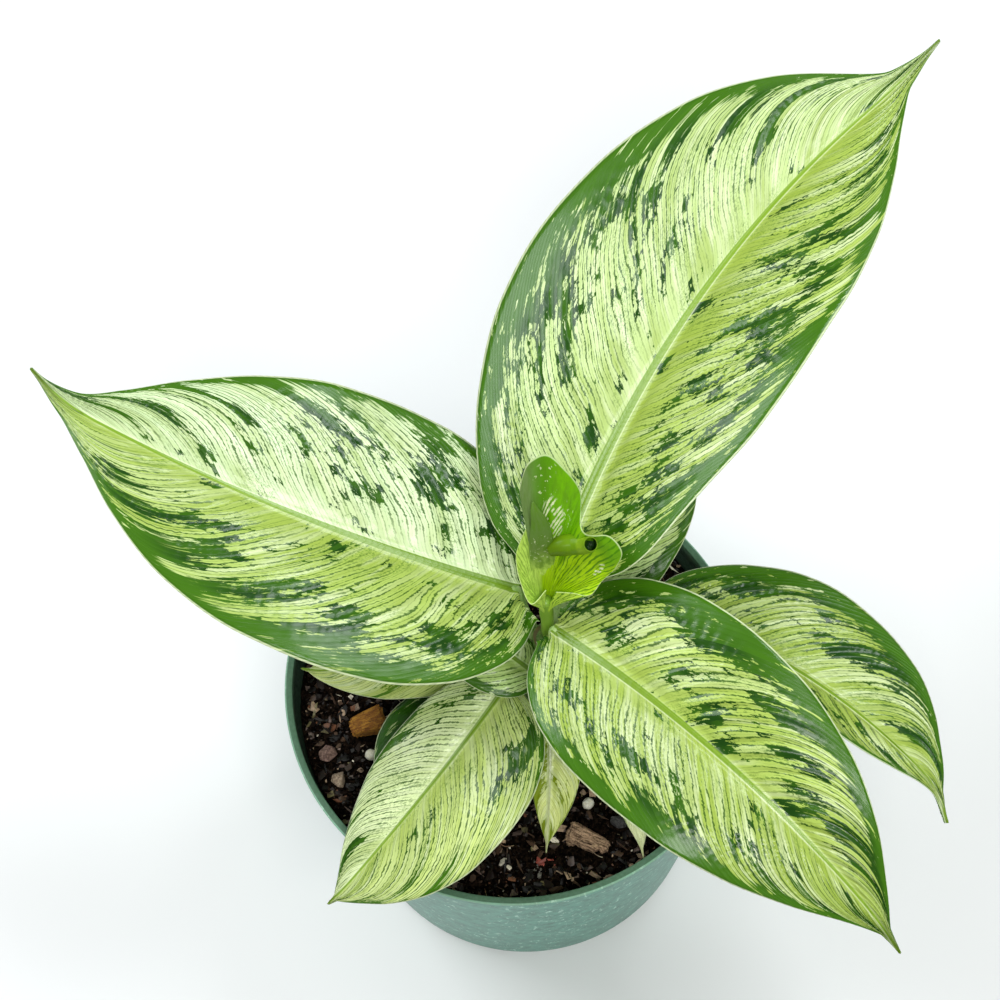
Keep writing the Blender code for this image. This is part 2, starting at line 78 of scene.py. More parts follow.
# Table top and light
# A plain pale sheet under the pot, in a pale room. Three soft windows light the plant, at the
# left, at the right and in front, and shine in broad bands on its leaves.
FLOOR_SIZE = 30.0
FLOOR_COLOUR = (0.86, 0.86, 0.855)
ROOM_COLOUR = (0.95, 0.98, 1.0)
ROOM_STRENGTH = 0.32
WINDOWS = {
    "left_window": dict(at=(-0.60, 0.38, 1.25), aim=(0, 0.02, 0.15), size=(0.65, 0.5), watts=10,
                        colour=(0.93, 0.97, 1.0)),
    "right_window": dict(at=(0.52, 0.28, 1.25), aim=(0, 0.02, 0.15), size=(0.5, 0.4), watts=7.5,
                         colour=(0.93, 0.97, 1.0)),
    "front_window": dict(at=(0.10, -0.66, 1.30), aim=(0, 0, 0.12), size=(0.5, 0.35), watts=8.5,
                         colour=(1.0, 1.0, 0.98)),
}


class Flow:
    """What comes out of a shader node. It is added, multiplied and so on as a number is."""

    def __init__(self, wires, socket):
        self.wires, self.socket = wires, socket

    def __add__(self, other):
        return self.wires.math("ADD", self, other)

    def __sub__(self, other):
        return self.wires.math("SUBTRACT", self, other)

    def __rsub__(self, other):
        return self.wires.math("SUBTRACT", other, self)

    def __mul__(self, other):
        return self.wires.math("MULTIPLY", self, other)

    def __truediv__(self, other):
        return self.wires.math("DIVIDE", self, other)

    __radd__, __rmul__ = __add__, __mul__


class Wiring:
    """Lays nodes in one material or node group, each fed with numbers, colours or Flows."""

    def __init__(self, tree):
        self.tree = tree

    def feed(self, socket, value):
        if isinstance(value, Flow):
            self.tree.links.new(value.socket, socket)
        elif socket.type == "RGBA" and len(value) == 3:
            socket.default_value = (*value, 1)
        else:
            socket.default_value = value

    def finish(self, **values):
        """Feeds the Principled shader of a material."""
        for name, value in values.items():
            self.feed(self.tree.nodes["Principled BSDF"].inputs[name.replace("_", " ")], value)

    def every(self, kind, inputs=(), **settings):
        """Lays a node and gives all its outputs by name."""
        node = self.tree.nodes.new(f"ShaderNode{kind}")
        for name, value in settings.items():
            setattr(node, name, value)
        for key, value in dict(inputs).items():
            self.feed(node.inputs[key], value)
        return node.outputs

    def put(self, kind, inputs=(), output=0, **settings):
        return Flow(self, self.every(kind, inputs, **settings)[output])

    def grouped(self, tree, inputs):
        """Places a node group and gives its outputs in their order."""
        return [Flow(self, socket) for socket in self.every("Group", inputs, node_tree=tree)]

    def math(self, operation, *values):
        return self.put("Math", enumerate(values), operation=operation)

    def least(self, first, second):
        return self.math("MINIMUM", first, second)

    def most(self, first, second):
        return self.math("MAXIMUM", first, second)

    def place(self, scale=1000):
        """Where a point lies in its piece, in mm unless the scale says otherwise."""
        return self.scaled(self.put("TexCoord", output="Object"), scale)

    def scaled(self, vector, by):
        """A vector times one number, or times a number for each of its axes."""
        by = (by, by, by) if isinstance(by, (int, float)) else by
        return self.put("VectorMath", {0: vector, 1: by}, operation="MULTIPLY")

    def split(self, vector):
        return [Flow(self, socket) for socket in self.every("SeparateXYZ", {0: vector})]

    def joined(self, x, y, z=0.0):
        return self.put("CombineXYZ", {0: x, 1: y, 2: z})

    def noise(self, vector, scale=1.0, detail=2.0, roughness=0.5):
        values = {"Vector": vector, "Scale": scale, "Detail": detail, "Roughness": roughness}
        return self.put("TexNoise", values, "Fac", noise_dimensions="3D")

    def ramp(self, value, low, high, first=0.0, last=1.0):
        """A smooth climb from first at low to last at high, level outside them."""
        values = {0: value, 1: low, 2: high, 3: first, 4: last}
        return self.put("MapRange", values, interpolation_type="SMOOTHSTEP")

    def mixed(self, share, first, second):
        return self.put("Mix", {0: share, 6: first, 7: second}, 2, data_type="RGBA")

    def attribute(self, name, output="Vector"):
        return self.put("Attribute", output=output, attribute_name=name)

    def bump(self, height, strength, depth):
        return self.put("Bump", {"Strength": strength, "Distance": depth, "Height": height})


def new_material(name, **finish):
    """A material and its wiring, with constants of its Principled shader as keywords."""
    made = bpy.data.materials.new(name)
    made.use_nodes = True
    wires = Wiring(made.node_tree)
    wires.finish(**finish)
    return made, wires


def add_piece(name, mesh, *finishes, node=None, slot=None):
    """Puts a mesh in the scene as one piece of the plant, in the place of a node of the model."""
    obj = new_object(name, mesh)
    for finish in finishes:
        mesh.materials.append(finish)
    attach(obj, "root")
    if node:
        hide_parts(node)
    return obj


def mesh_of(name, points, faces, smooth=True):
    mesh = bpy.data.meshes.new(name)
    mesh.from_pydata([tuple(p) for p in points], [], [tuple(f) for f in faces])
    mesh.polygons.foreach_set("use_smooth", [smooth] * len(mesh.polygons))
    mesh.update()
    return mesh


def grid_faces(rows, columns, first=0, closed=False):
    """Squares between neighbouring points of a grid laid row by row; closed joins its two sides."""
    row = np.arange(rows - 1)[:, None] * columns
    column = np.arange(columns if closed else columns - 1)[None, :]
    after = (column + 1) % columns
    squares = [row + column, row + after, row + columns + after, row + columns + column]
    return np.stack(np.broadcast_arrays(*squares), -1).reshape(-1, 4) + first


half = FLOOR_SIZE / 2
corners = [(-half, -half, 0), (half, -half, 0), (half, half, 0), (-half, half, 0)]
floor = new_object("floor", mesh_of("floor", corners, [(0, 1, 2, 3)], smooth=False))
paper, _ = new_material("pale table", Roughness=0.9, Base_Color=FLOOR_COLOUR)
floor.data.materials.append(paper)

world = bpy.data.worlds.new("room")
world.use_nodes = True
world.node_tree.nodes["Background"].inputs["Color"].default_value = (*ROOM_COLOUR, 1)
world.node_tree.nodes["Background"].inputs["Strength"].default_value = ROOM_STRENGTH
bpy.context.scene.world = world
for name, window in WINDOWS.items():
    light = bpy.data.lights.new(name, "AREA")
    light.shape = "RECTANGLE"
    light.size, light.size_y = window["size"]
    light.energy = window["watts"]
    light.color = window["colour"]
    holder = new_object(name, light)
    holder.location = window["at"]
    holder.rotation_mode = "QUATERNION"
    away = Vector(window["at"]) - Vector(window["aim"])
    holder.rotation_quaternion = away.to_track_quat("Z", "Y")


# Pot
# A thin tapered cup of blue-green polypropylene, injection moulded in one piece, with a flat
# thickened lip, a raised foot ring and six drain holes. It has light scuffs from handling.
POT_HEIGHT = 122 * MM
POT_RIM_RADIUS = 77.5 * MM
POT_BASE_RADIUS = 62.5 * MM
POT_WALL = 1.8 * MM
POT_LIP = 2.7 * MM
POT_LIP_FOOT = POT_HEIGHT - 6 * MM
POT_STEPS = 168
POT_SHARP_EDGE = math.radians(38)
DRAIN_HOLES = 6
DRAIN_RADIUS = 4.5 * MM
DRAIN_CIRCLE = 46 * MM
POT_DULL_COLOUR = (0.04464, 0.155, 0.11408)
POT_BRIGHT_COLOUR = (0.09504, 0.33, 0.24288)
POT_LIP_COLOUR = (0.072, 0.150, 0.088)
POT_EDGE_HIGHLIGHT_COLOUR = (0.40, 0.62, 0.42)
POT_SCUFF_COLOUR = (0.52, 0.74, 0.64)
POT_GRAIN_COLOUR = (0.30, 0.46, 0.38)
POT_INNER_SHADE_COLOUR = (0.014, 0.028, 0.018)


def pot_radius(height):
    return POT_BASE_RADIUS + (POT_RIM_RADIUS - POT_BASE_RADIUS) * height / POT_HEIGHT


def rounded(corners, steps=4):
    """A profile of (x, y, round) corners with each corner turned on its own small radius."""
    points = []
    for index, (x, y, reach) in enumerate(corners):
        here = Vector((x, y))
        if reach == 0:
            points.append(here)
            continue
        before = (Vector(corners[index - 1][:2]) - here).normalized() * reach
        after = (Vector(corners[index + 1][:2]) - here).normalized() * reach
        for step in range(steps + 1):
            t = step / steps
            points.append(here + before * (1 - t) ** 2 + after * t**2)
    return points


def turned_mesh(name, profile, steps):
    """A closed solid turned from (radius, height) points that start and end on the axis."""
    angles = np.arange(steps) * 2 * math.pi / steps
    rings = np.array(profile[1:-1])
    x = rings[:, 0, None] * np.cos(angles)
    y = rings[:, 0, None] * np.sin(angles)
    z = np.repeat(rings[:, 1, None], steps, axis=1)
    points = np.stack([x, y, z], -1).reshape(-1, 3).tolist()
    faces = grid_faces(len(rings), steps, closed=True)[:, ::-1].tolist()
    top, foot = len(points), len(points) + 1
    points += [(0, 0, profile[0][1]), (0, 0, profile[-1][1])]
    last = (len(rings) - 1) * steps
    for step in range(steps):
        after = (step + 1) % steps
        faces.append((top, step, after))
        faces.append((foot, last + after, last + step))
    return mesh_of(name, points, faces)


def cut_by(obj, tool):
    """Takes the tool's shape out of a piece and removes the tool."""
    step = obj.modifiers.new("cut", "BOOLEAN")
    step.operation, step.solver, step.object = "DIFFERENCE", "EXACT", tool
    graph = bpy.context.evaluated_depsgraph_get()
    old = obj.data
    obj.data = bpy.data.meshes.new_from_object(obj.evaluated_get(graph), depsgraph=graph)
    obj.modifiers.clear()
    bpy.data.meshes.remove(old)
    bpy.data.objects.remove(tool)


pot_profile = rounded([
    (0, POT_WALL, 0),
    (pot_radius(0) - POT_WALL, POT_WALL, 2 * MM),
    (pot_radius(POT_LIP_FOOT) - POT_WALL, POT_LIP_FOOT - 1 * MM, 0.6 * MM),
    (POT_RIM_RADIUS - POT_LIP, POT_LIP_FOOT, 0.4 * MM),
    (POT_RIM_RADIUS - POT_LIP, POT_HEIGHT, 0.5 * MM),
    (POT_RIM_RADIUS, POT_HEIGHT, 0.6 * MM),
    (pot_radius(POT_LIP_FOOT), POT_LIP_FOOT, 0.3 * MM),
    (pot_radius(60 * MM), 60 * MM, 0.5 * MM),
    (pot_radius(3 * MM), 3 * MM, 0.8 * MM),
    (pot_radius(0) - 1.6 * MM, 0, 0.7 * MM),
    (pot_radius(0) - 4.4 * MM, 0, 0.5 * MM),
    (pot_radius(0) - 5.4 * MM, 0.7 * MM, 0.4 * MM),
    (0, 0.7 * MM, 0),
])
drill = bmesh.new()
for index in range(DRAIN_HOLES):
    angle = 2 * math.pi * (index + 0.5) / DRAIN_HOLES
    hole = Matrix.Translation((DRAIN_CIRCLE * math.cos(angle), DRAIN_CIRCLE * math.sin(angle), 0))
    bmesh.ops.create_cone(drill, cap_ends=True, segments=40, radius1=DRAIN_RADIUS,
                          radius2=DRAIN_RADIUS, depth=4 * POT_WALL, matrix=hole)
drill_mesh = bpy.data.meshes.new("drill")
drill.to_mesh(drill_mesh)
drill.free()

pot_plastic, wires = new_material("pot plastic", Specular_IOR_Level=0.2)
place = wires.place(1)
x, y, z = wires.split(place)
around = wires.joined(wires.math("ARCTAN2", y, x) * POT_RIM_RADIUS, z)
cloud = wires.noise(wires.scaled(place, 210), 1.0, 5, 0.75)
body = wires.mixed(wires.ramp(cloud, 0.3, 0.7), POT_DULL_COLOUR, POT_BRIGHT_COLOUR)
stroke = wires.noise(wires.scaled(around, (400, 190, 1)), 1.0, 4, 0.75)
patch = wires.noise(wires.scaled(place, 70), 1.0, 2)
scuffs = wires.ramp(stroke, 0.55, 0.64) * wires.ramp(patch, 0.38, 0.56)
body = wires.mixed(scuffs * 0.9, body, POT_SCUFF_COLOUR)

# the lip's top is duller and the inner wall takes the same duller tone as painted shade, below the lip
# # the inner wall is darkened further to a near-black painted shade, and the lip's outer edge carries a
# # pale painted highlight
reach = wires.math("POWER", x * x + y * y, 0.5)
outer_edge = wires.ramp(reach, POT_RIM_RADIUS - 0.75 * MM, POT_RIM_RADIUS - 0.45 * MM)
on_lip = wires.ramp(z, POT_HEIGHT - 1.2 * MM, POT_HEIGHT - 0.5 * MM) * (1.0 - outer_edge)
behind = POT_BASE_RADIUS + z * ((POT_RIM_RADIUS - POT_BASE_RADIUS) / POT_HEIGHT) - reach
inner = wires.ramp(behind, 1.2 * MM, 1.6 * MM) * wires.ramp(z, POT_WALL * 0.5, POT_WALL)
# the lip's top and, as painted shade, the inner wall take the duller lip tone
body = wires.mixed(wires.most(on_lip, inner), body, POT_LIP_COLOUR)
# painted highlight: a pale line along the lip's outer edge
painted_edge_highlight = wires.ramp(z, POT_HEIGHT - 1.0 * MM, POT_HEIGHT - 0.5 * MM) * outer_edge
body = wires.mixed(painted_edge_highlight * 0.5, body, POT_EDGE_HIGHLIGHT_COLOUR)
# painted shade: the inner wall below the lip is darkened almost to black
painted_inner_shade = inner * wires.ramp(z, POT_HEIGHT - 5 * MM, POT_HEIGHT - 1.5 * MM, 1, 0)
body = wires.mixed(painted_inner_shade * 0.85, body, POT_INNER_SHADE_COLOUR)
grain = wires.noise(wires.scaled(place, 900), 1.0, 2)
body = wires.mixed(wires.ramp(grain, 0.3, 0.8, 0, 0.10), body, POT_GRAIN_COLOUR)
wires.finish(Base_Color=body, Roughness=0.36 + scuffs * 0.25, Normal=wires.bump(grain, 0.25, 0.0002))

pot_mesh = turned_mesh("pot", pot_profile, POT_STEPS)
pot = add_piece("nursery_pot", pot_mesh, pot_plastic, node="pot", slot="pot_plastic")
cut_by(pot, new_object("drill", drill_mesh))
pot.data.polygons.foreach_set("use_smooth", [True] * len(pot.data.polygons))
pot.data.set_sharp_from_angle(angle=POT_SHARP_EDGE)


# Soil
# A dark, open potting mix of bark fines, peat and fibre that fills the pot to 14 mm below its
# lip and is a little higher round the plant. Loose crumbs and slivers lie all over its face.
SOIL_TOP = 108 * MM
SOIL_EDGE = pot_radius(SOIL_TOP) - POT_WALL
SOIL_GAP = 0.4 * MM
SOIL_FOOT = POT_WALL + 0.3 * MM
SOIL_FOOT_ROUND = 2.2 * MM
SOIL_LUMPS = 1.6 * MM
SOIL_LUMP_SIZE = 11 * MM
SOIL_MOUND = 3 * MM
SOIL_RINGS = 96
SOIL_STEPS = 260
CANE_FOOT = Vector((6, 0, 88)) * MM
CRUMBS = 7500
CRUMB_SEED = 11
CRUMB_KINDS = (0.5, 0.3, 0.2)
CRUMB_KIND_SIZES = (1.0, 0.75, 1.7)
CRUMB_TIP = 0.38
CRUMB_TONES = (
    ((0.004, 0.003, 0.002), 34), ((0.016, 0.009, 0.006), 22), ((0.070, 0.040, 0.024), 15),
    ((0.15, 0.105, 0.085), 8), ((0.17, 0.070, 0.035), 5), ((0.17, 0.145, 0.065), 4),
    ((0.40, 0.28, 0.18), 7), ((0.75, 0.68, 0.54), 3),
)
STAINS = ((5.4, -59.5, 3.0, (0.44, 0.10, 0.07)), (1.8, -61.8, 3.6, (0.17, 0.16, 0.135)))
SHARD_SIZES = ((1, 0.7, 0.22), (0.8, 0.7, 0.6), (1, 0.16, 0.13))
SHARDS_OF_A_KIND = 9
SHARD_CORNERS = 12
CHIPS = {
    "bark_chip": dict(at=(18.6, -54.5), size=(15.5, 8.5, 3.2), turn=-28),
    "bark_chunk": dict(at=(-51, -6.5), size=(13, 9, 6), turn=15),
    "stone_01": dict(at=(-65.3, -15.5), size=(6.5, 5, 4), turn=40),
    "stone_02": dict(at=(-62.3, -25), size=(6, 4.5, 3.2), turn=80),
    "stone_03": dict(at=(30, -49), size=(7, 5.5, 4), turn=10),
    "prill_01": dict(at=(-50.8, -17.5), size=(4, 3.8, 3.6), turn=0),
    "prill_02": dict(at=(20, -42), size=(4.2, 3.8, 3.6), turn=30),
}


def ease(low, high, value):
    share = np.clip((value - low) / (high - low), 0, 1)
    return share * share * (3 - 2 * share)


def chips_near(x, y):
    """How far the middle of each loose bit is from a place, and half the bit's length."""
    for chip in CHIPS.values():
        across, along = chip["at"]
        yield math.hypot(x - across * MM, y - along * MM), chip["size"][0] / 2 * MM


def soil_height(x, y):
    """Height of the soil's face: lumps, crumbs, the mound round the cane and beds for loose bits."""
    place = Vector((x, y, 0)) / SOIL_LUMP_SIZE
    height = SOIL_TOP + SOIL_LUMPS * (noise.noise(place) + 0.5 * noise.noise(place * 2.3))
    from_cane = math.hypot(x - CANE_FOOT.x, y - CANE_FOOT.y)
    height += SOIL_MOUND * (1 - ease(8 * MM, 40 * MM, from_cane))
    fine = 1.5 * noise.noise(place * 3.1) + 1.0 * noise.noise(place * 7.3)
    fine += 0.5 * noise.noise(place * 17)
    for away, reach in chips_near(x, y):
        height += (SOIL_TOP - height) * (1 - ease(reach + 6 * MM, reach + 12 * MM, away))
        fine *= ease(reach * 0.8, reach * 1.3, away)
    return height + fine * MM


def round_places(radius, steps):
    angles = (2 * math.pi * step / steps for step in range(steps))
    return [(radius * math.cos(angle), radius * math.sin(angle)) for angle in angles]


def soil_mesh():
    points = [(0, 0, soil_height(0, 0))]
    for ring in range(1, SOIL_RINGS + 1):
        radius = (SOIL_EDGE - SOIL_GAP) * (ring / SOIL_RINGS) ** 0.85
        points += [(x, y, soil_height(x, y)) for x, y in round_places(radius, SOIL_STEPS)]
    low_edge = pot_radius(0) - POT_WALL - SOIL_GAP
    for inset, lift in ((0, SOIL_FOOT_ROUND), (SOIL_FOOT_ROUND, 0)):
        places = round_places(low_edge - inset, SOIL_STEPS)
        points += [(x, y, SOIL_FOOT + lift) for x, y in places]
    rings = SOIL_RINGS + 2
    faces = grid_faces(rings, SOIL_STEPS, first=1, closed=True)[:, ::-1].tolist()
    faces += [(0, 1 + step, 1 + (step + 1) % SOIL_STEPS) for step in range(SOIL_STEPS)]
    last = 1 + (rings - 1) * SOIL_STEPS
    faces.append(range(last + SOIL_STEPS - 1, last - 1, -1))
    return mesh_of("soil", points, faces)


def broken_lump(spots):
    """The hull of scattered points."""
    bm = bmesh.new()
    for spot in spots:
        bm.verts.new(spot)
    hull = bmesh.ops.convex_hull(bm, input=bm.verts[:])
    inside = {v for v in hull["geom_interior"] if isinstance(v, bmesh.types.BMVert)}
    bmesh.ops.delete(bm, geom=list(inside), context="VERTS")
    return bm


def shard_shapes(rng):
    """A stock of broken flakes, lumps and splinters, each as unit points and triangles."""
    stock = []
    for size in SHARD_SIZES:
        for _ in range(SHARDS_OF_A_KIND):
            bm = broken_lump(rng.uniform(-0.5, 0.5, (SHARD_CORNERS, 3)) * size)
            bmesh.ops.triangulate(bm, faces=bm.faces[:])
            bm.verts.index_update()
            points = np.array([v.co for v in bm.verts])
            stock.append((points, np.array([[v.index for v in f.verts] for f in bm.faces])))
            bm.free()
    return stock


def scattered(rng, edge, least=0.0):
    """A random place on the soil, at an even chance for every part of its face."""
    radius, angle = edge * math.sqrt(rng.uniform(least, 1)), rng.uniform(0, 2 * math.pi)
    return radius * math.cos(angle), radius * math.sin(angle)


def crumb_field(count, seed):
    """Loose flakes, lumps and splinters of the mix, each tipped its own way, in its own brown."""
    rng = np.random.default_rng(seed)
    stock = shard_shapes(rng)
    tones = np.array([tone for tone, _ in CRUMB_TONES])
    chances = np.array([chance for _, chance in CRUMB_TONES])
    points, faces, tints, total = [], [], [], 0
    for _ in range(count):
        x, y = scattered(rng, SOIL_EDGE - 1.2 * MM)
        kind = rng.choice(3, p=CRUMB_KINDS)
        size = (1.0 + 3.8 * rng.uniform() ** 2.6) * CRUMB_KIND_SIZES[kind]
        shape, skin = stock[kind * SHARDS_OF_A_KIND + rng.integers(SHARDS_OF_A_KIND)]
        turn = Matrix.Rotation(rng.uniform(0, 2 * math.pi), 3, "Z")
        turn = turn @ Matrix.Rotation(rng.normal() * CRUMB_TIP, 3, "Y")
        lift = (0.12 + 0.10 * rng.uniform()) * size * MM
        lump = shape * size * MM @ np.array(turn).T + np.array((x, y, soil_height(x, y) + lift))
        past_edge = np.hypot(lump[:, 0], lump[:, 1]).max() > SOIL_EDGE - 0.3 * MM
        room = min(away - reach for away, reach in chips_near(x, y))
        if past_edge or room < size * 0.3 * MM:
            continue
        tone = tones[rng.choice(len(tones), p=chances / chances.sum())] * rng.uniform(0.6, 1.5)
        for stain_x, stain_y, reach, stain in STAINS:
            if math.hypot(x / MM - stain_x, y / MM - stain_y) < reach:
                tone = np.array(stain) * rng.uniform(0.6, 1.4)
                break
        points.append(lump)
        faces.append(skin + total)
        tints.append(np.tile(tone, (len(shape), 1)))
        total += len(shape)
    mesh = mesh_of("crumbs", np.concatenate(points), np.concatenate(faces), smooth=False)
    store_tone(mesh, "tint", np.concatenate(tints))
    return mesh


def store(mesh, name, values):
    """Stores a number, a place or a colour with its alpha for each point of a mesh."""
    values = np.asarray(values, dtype=np.float32)
    size = values.shape[1] if values.ndim == 2 else 1
    kinds = {1: ("FLOAT", "value"), 3: ("FLOAT_VECTOR", "vector"), 4: ("FLOAT_COLOR", "color")}
    kind, field = kinds[size]
    mesh.attributes.new(name, kind, "POINT").data.foreach_set(field, values.ravel())


def store_tone(mesh, name, tones):
    store(mesh, name, np.column_stack([tones, np.ones(len(tones))]))


soil_finish, wires = new_material("potting mix", Roughness=0.95, Specular_IOR_Level=0.03)
specks = wires.noise(wires.place(), 0.75, 5, 0.7)
colour = wires.mixed(wires.ramp(specks, 0.42, 0.78), (0.0012, 0.0009, 0.0007), (0.032, 0.019, 0.012))
flecks = wires.ramp(wires.noise(wires.place(), 1.6, 2, 0.6), 0.66, 0.74)
colour = wires.mixed(flecks * 0.5, colour, (0.14, 0.085, 0.05))
wires.finish(Base_Color=colour, Normal=wires.bump(specks, 0.9, 0.001))
add_piece("potting_soil", soil_mesh(), soil_finish, node="soil", slot="soil")

crumb_finish, wires = new_material("soil crumbs", Roughness=0.45, Specular_IOR_Level=0.3)
mottle = wires.noise(wires.place(), 0.9, 4, 0.65)
tint = wires.attribute("tint", "Color")
colour = wires.mixed(wires.ramp(mottle, 0.40, 0.72, 0, 0.6), tint, (0.008, 0.006, 0.005))
wires.finish(Base_Color=colour, Normal=wires.bump(mottle, 0.5, 0.0004))
add_piece("soil_crumbs", crumb_field(CRUMBS, CRUMB_SEED), crumb_finish, slot="soil")


# Loose bits
# Things that lie on the soil: a split chip and a chunk of bark, three angular stones, two cream
# pellets of slow-release feed, and pale root threads that have worked up out of the mix.
CHIP_LIFT = 0.3 * MM
CHIP_DUST = (0.02, 0.013, 0.009)
CHIP_COLOURS = {
    "bark_chip": ((0.10, 0.055, 0.028), (0.60, 0.39, 0.24)),
    "bark_chunk": ((0.19, 0.065, 0.006), (0.46, 0.215, 0.022)),
    "stone_01": ((0.115, 0.066, 0.052), (0.32, 0.20, 0.155)),
    "stone_02": ((0.19, 0.13, 0.085), (0.46, 0.35, 0.25)),
    "stone_03": ((0.022, 0.021, 0.021), (0.085, 0.082, 0.080)),
    "prill_01": ((0.90, 0.84, 0.62), (0.97, 0.95, 0.80)),
    "prill_02": ((0.90, 0.85, 0.66), (0.97, 0.95, 0.84)),
}
SLABS = {
    "bark_chip": dict(grain=7, taper=0.38, ragged_edge=0.6),
    "bark_chunk": dict(grain=4, taper=-0.25, ragged_edge=0.2),
}
KINDS = {
    "bark": dict(slot="bark", roughness=0.85, dust=0.6, stretch=(0.35, 1.6, 1.6)),
    "stone": dict(slot="grit", roughness=0.85, dust=0.6, stretch=(1.1, 1.1, 1.1)),
    "prill": dict(slot="feed_prill", roughness=0.62, dust=0.2, stretch=(1.1, 1.1, 1.1)),
}
STONE_CORNERS = 16
THREADS = 34
THREAD_SEED = 5
THREAD_RADIUS = 0.16 * MM
THREAD_SIDES = 6
THREAD_STEPS = 14


def new_group(name, inputs, outputs):
    """A node group: its wiring, its inputs as Flows and its outputs to feed.

    An input is given as its default: None for a place, a number, or a colour.
    """
    tree = bpy.data.node_groups.new(name, "ShaderNodeTree")
    for key, value in inputs.items():
        kind = "Vector" if value is None else "Color" if isinstance(value, tuple) else "Float"
        socket = tree.interface.new_socket(key, in_out="INPUT", socket_type=f"NodeSocket{kind}")
        if value is not None:
            socket.default_value = (*value, 1) if kind == "Color" else value
    for key, kind in outputs.items():
        tree.interface.new_socket(key, in_out="OUTPUT", socket_type=f"NodeSocket{kind}")
    wires = Wiring(tree)
    sockets = tree.nodes.new("NodeGroupInput").outputs
    given = {key: Flow(wires, sockets[key]) for key in inputs}
    return wires, given, tree.nodes.new("NodeGroupOutput").inputs


def chip_skin_group():
    """Bark, stone or pellet: light and dark along its grain, with soil dust in patches."""
    inputs = {"Place": None, "Turn": 0.0, "Stretch": None, "Dark": (0.1, 0.1, 0.1),
              "Light": (0.5, 0.5, 0.5), "Dust": 0.5}
    wires, given, result = new_group("chip skin", inputs, {"Colour": "Color", "Grain": "Float"})
    turned = {"Vector": given["Place"], "Angle": given["Turn"]}
    along_grain = wires.put("VectorRotate", turned, rotation_type="Z_AXIS")
    grain = wires.noise(wires.scaled(along_grain, given["Stretch"]), 1.0, 4, 0.65)
    colour = wires.mixed(wires.ramp(grain, 0.36, 0.68), given["Dark"], given["Light"])
    dust = wires.ramp(wires.noise(given["Place"], 2.4, 2), 0.56, 0.66, 0, given["Dust"])
    wires.feed(result["Colour"], wires.mixed(dust, colour, CHIP_DUST))
    wires.feed(result["Grain"], grain)
    return wires.tree


def angular_lump(seed):
    """A broken stone: the hull of a few scattered points, its edges rounded a little by wear."""
    rng = np.random.default_rng(seed)
    bm = broken_lump(Vector(rng.normal(size=3)).normalized() * rng.uniform(0.44, 0.5)
                     for _ in range(STONE_CORNERS))
    bmesh.ops.bevel(bm, geom=bm.edges[:], offset=0.035, segments=2, profile=0.6, affect="EDGES")
    return bm


def fibrous_slab(seed, grain, taper, ragged_edge):
    """A chip of bark: a flat block split along its grain, narrower and ragged towards one side."""
    bm = bmesh.new()
    bmesh.ops.create_icosphere(bm, subdivisions=5, radius=1)
    for vert in bm.verts:
        way = vert.co.copy()
        block = Vector(math.copysign(abs(a) ** 0.34, a) for a in way)
        fibre = noise.noise(Vector((way.x * 1.3, way.y * grain, way.z * grain + seed)))
        ragged = noise.noise(Vector((way.x * 2.2 + seed, way.y * 5, way.z * 9)))
        block *= 1 + 0.14 * fibre + 0.13 * ragged * abs(way.x)
        block.y *= 1 - taper * block.x
        low = max(-block.y, 0)
        torn = noise.noise(Vector((block.x * 3.4, seed, 0)))
        torn += 0.5 * noise.noise(Vector((block.x * 9, seed, 2)))
        block.y += low * ragged_edge * torn
        block.z -= low * 0.35
        vert.co = block * 0.5
    return bm


def pellet(seed):
    bm = bmesh.new()
    bmesh.ops.create_icosphere(bm, subdivisions=4, radius=0.5)
    for vert in bm.verts:
        vert.co *= 1 + 0.07 * noise.noise(vert.co * 4 + Vector((seed, 0, 0)))
    return bm


def rest_on_soil(bm, chip):
    """Scales a lump to its chip's size, flattens it underneath and lays it on its bed."""
    points = np.array([v.co for v in bm.verts])
    low, high = points.min(axis=0), points.max(axis=0)
    size = Vector(chip["size"]) * MM
    turn = Matrix.Rotation(math.radians(chip["turn"]), 3, "Z")
    foot = Vector((chip["at"][0] * MM, chip["at"][1] * MM, SOIL_TOP + CHIP_LIFT))
    for vert in bm.verts:
        share = Vector((vert.co[a] - low[a]) / (high[a] - low[a]) for a in range(3))
        height = max(share.z - 0.1, 0) / 0.9 * size.z
        vert.co = foot + turn @ Vector(((share.x - 0.5) * size.x, (share.y - 0.5) * size.y, height))


chip_skin = chip_skin_group()
for number, (name, chip) in enumerate(CHIPS.items()):
    group = name.split("_")[0]
    kind = KINDS[group]
    if group == "stone":
        lump = angular_lump(number + 3)
    elif group == "prill":
        lump = pellet(number)
    else:
        lump = fibrous_slab(number + 0.4, **SLABS[name])
    rest_on_soil(lump, chip)
    mesh = bpy.data.meshes.new(name)
    lump.to_mesh(mesh)
    lump.free()
    mesh.polygons.foreach_set("use_smooth", [group != "stone"] * len(mesh.polygons))
    finish, wires = new_material(name.replace("_", " "), Roughness=kind["roughness"])
    dark, light = CHIP_COLOURS[name]
    skin = {"Place": wires.place(), "Turn": -math.radians(chip["turn"]), "Stretch": kind["stretch"],
            "Dark": dark, "Light": light, "Dust": kind["dust"]}
    colour, grain = wires.grouped(chip_skin, skin)
    wires.finish(Base_Color=colour, Normal=wires.bump(grain, 0.55, 0.0003))
    add_piece(f"loose_{name}", mesh, finish, node=name, slot=kind["slot"])


def unit(ways):
    return ways / np.linalg.norm(ways, axis=-1, keepdims=True)


def tube_faces(rows, sides, first=0, inward=False):
    """Faces of a tube laid ring by ring, closed at both ends."""
    faces = grid_faces(rows, sides, first, closed=True).tolist()
    last = first + (rows - 1) * sides
    faces.append(list(range(first + sides - 1, first - 1, -1)))
    faces.append(list(range(last, last + sides)))
    return [face[::-1] for face in faces] if inward else faces


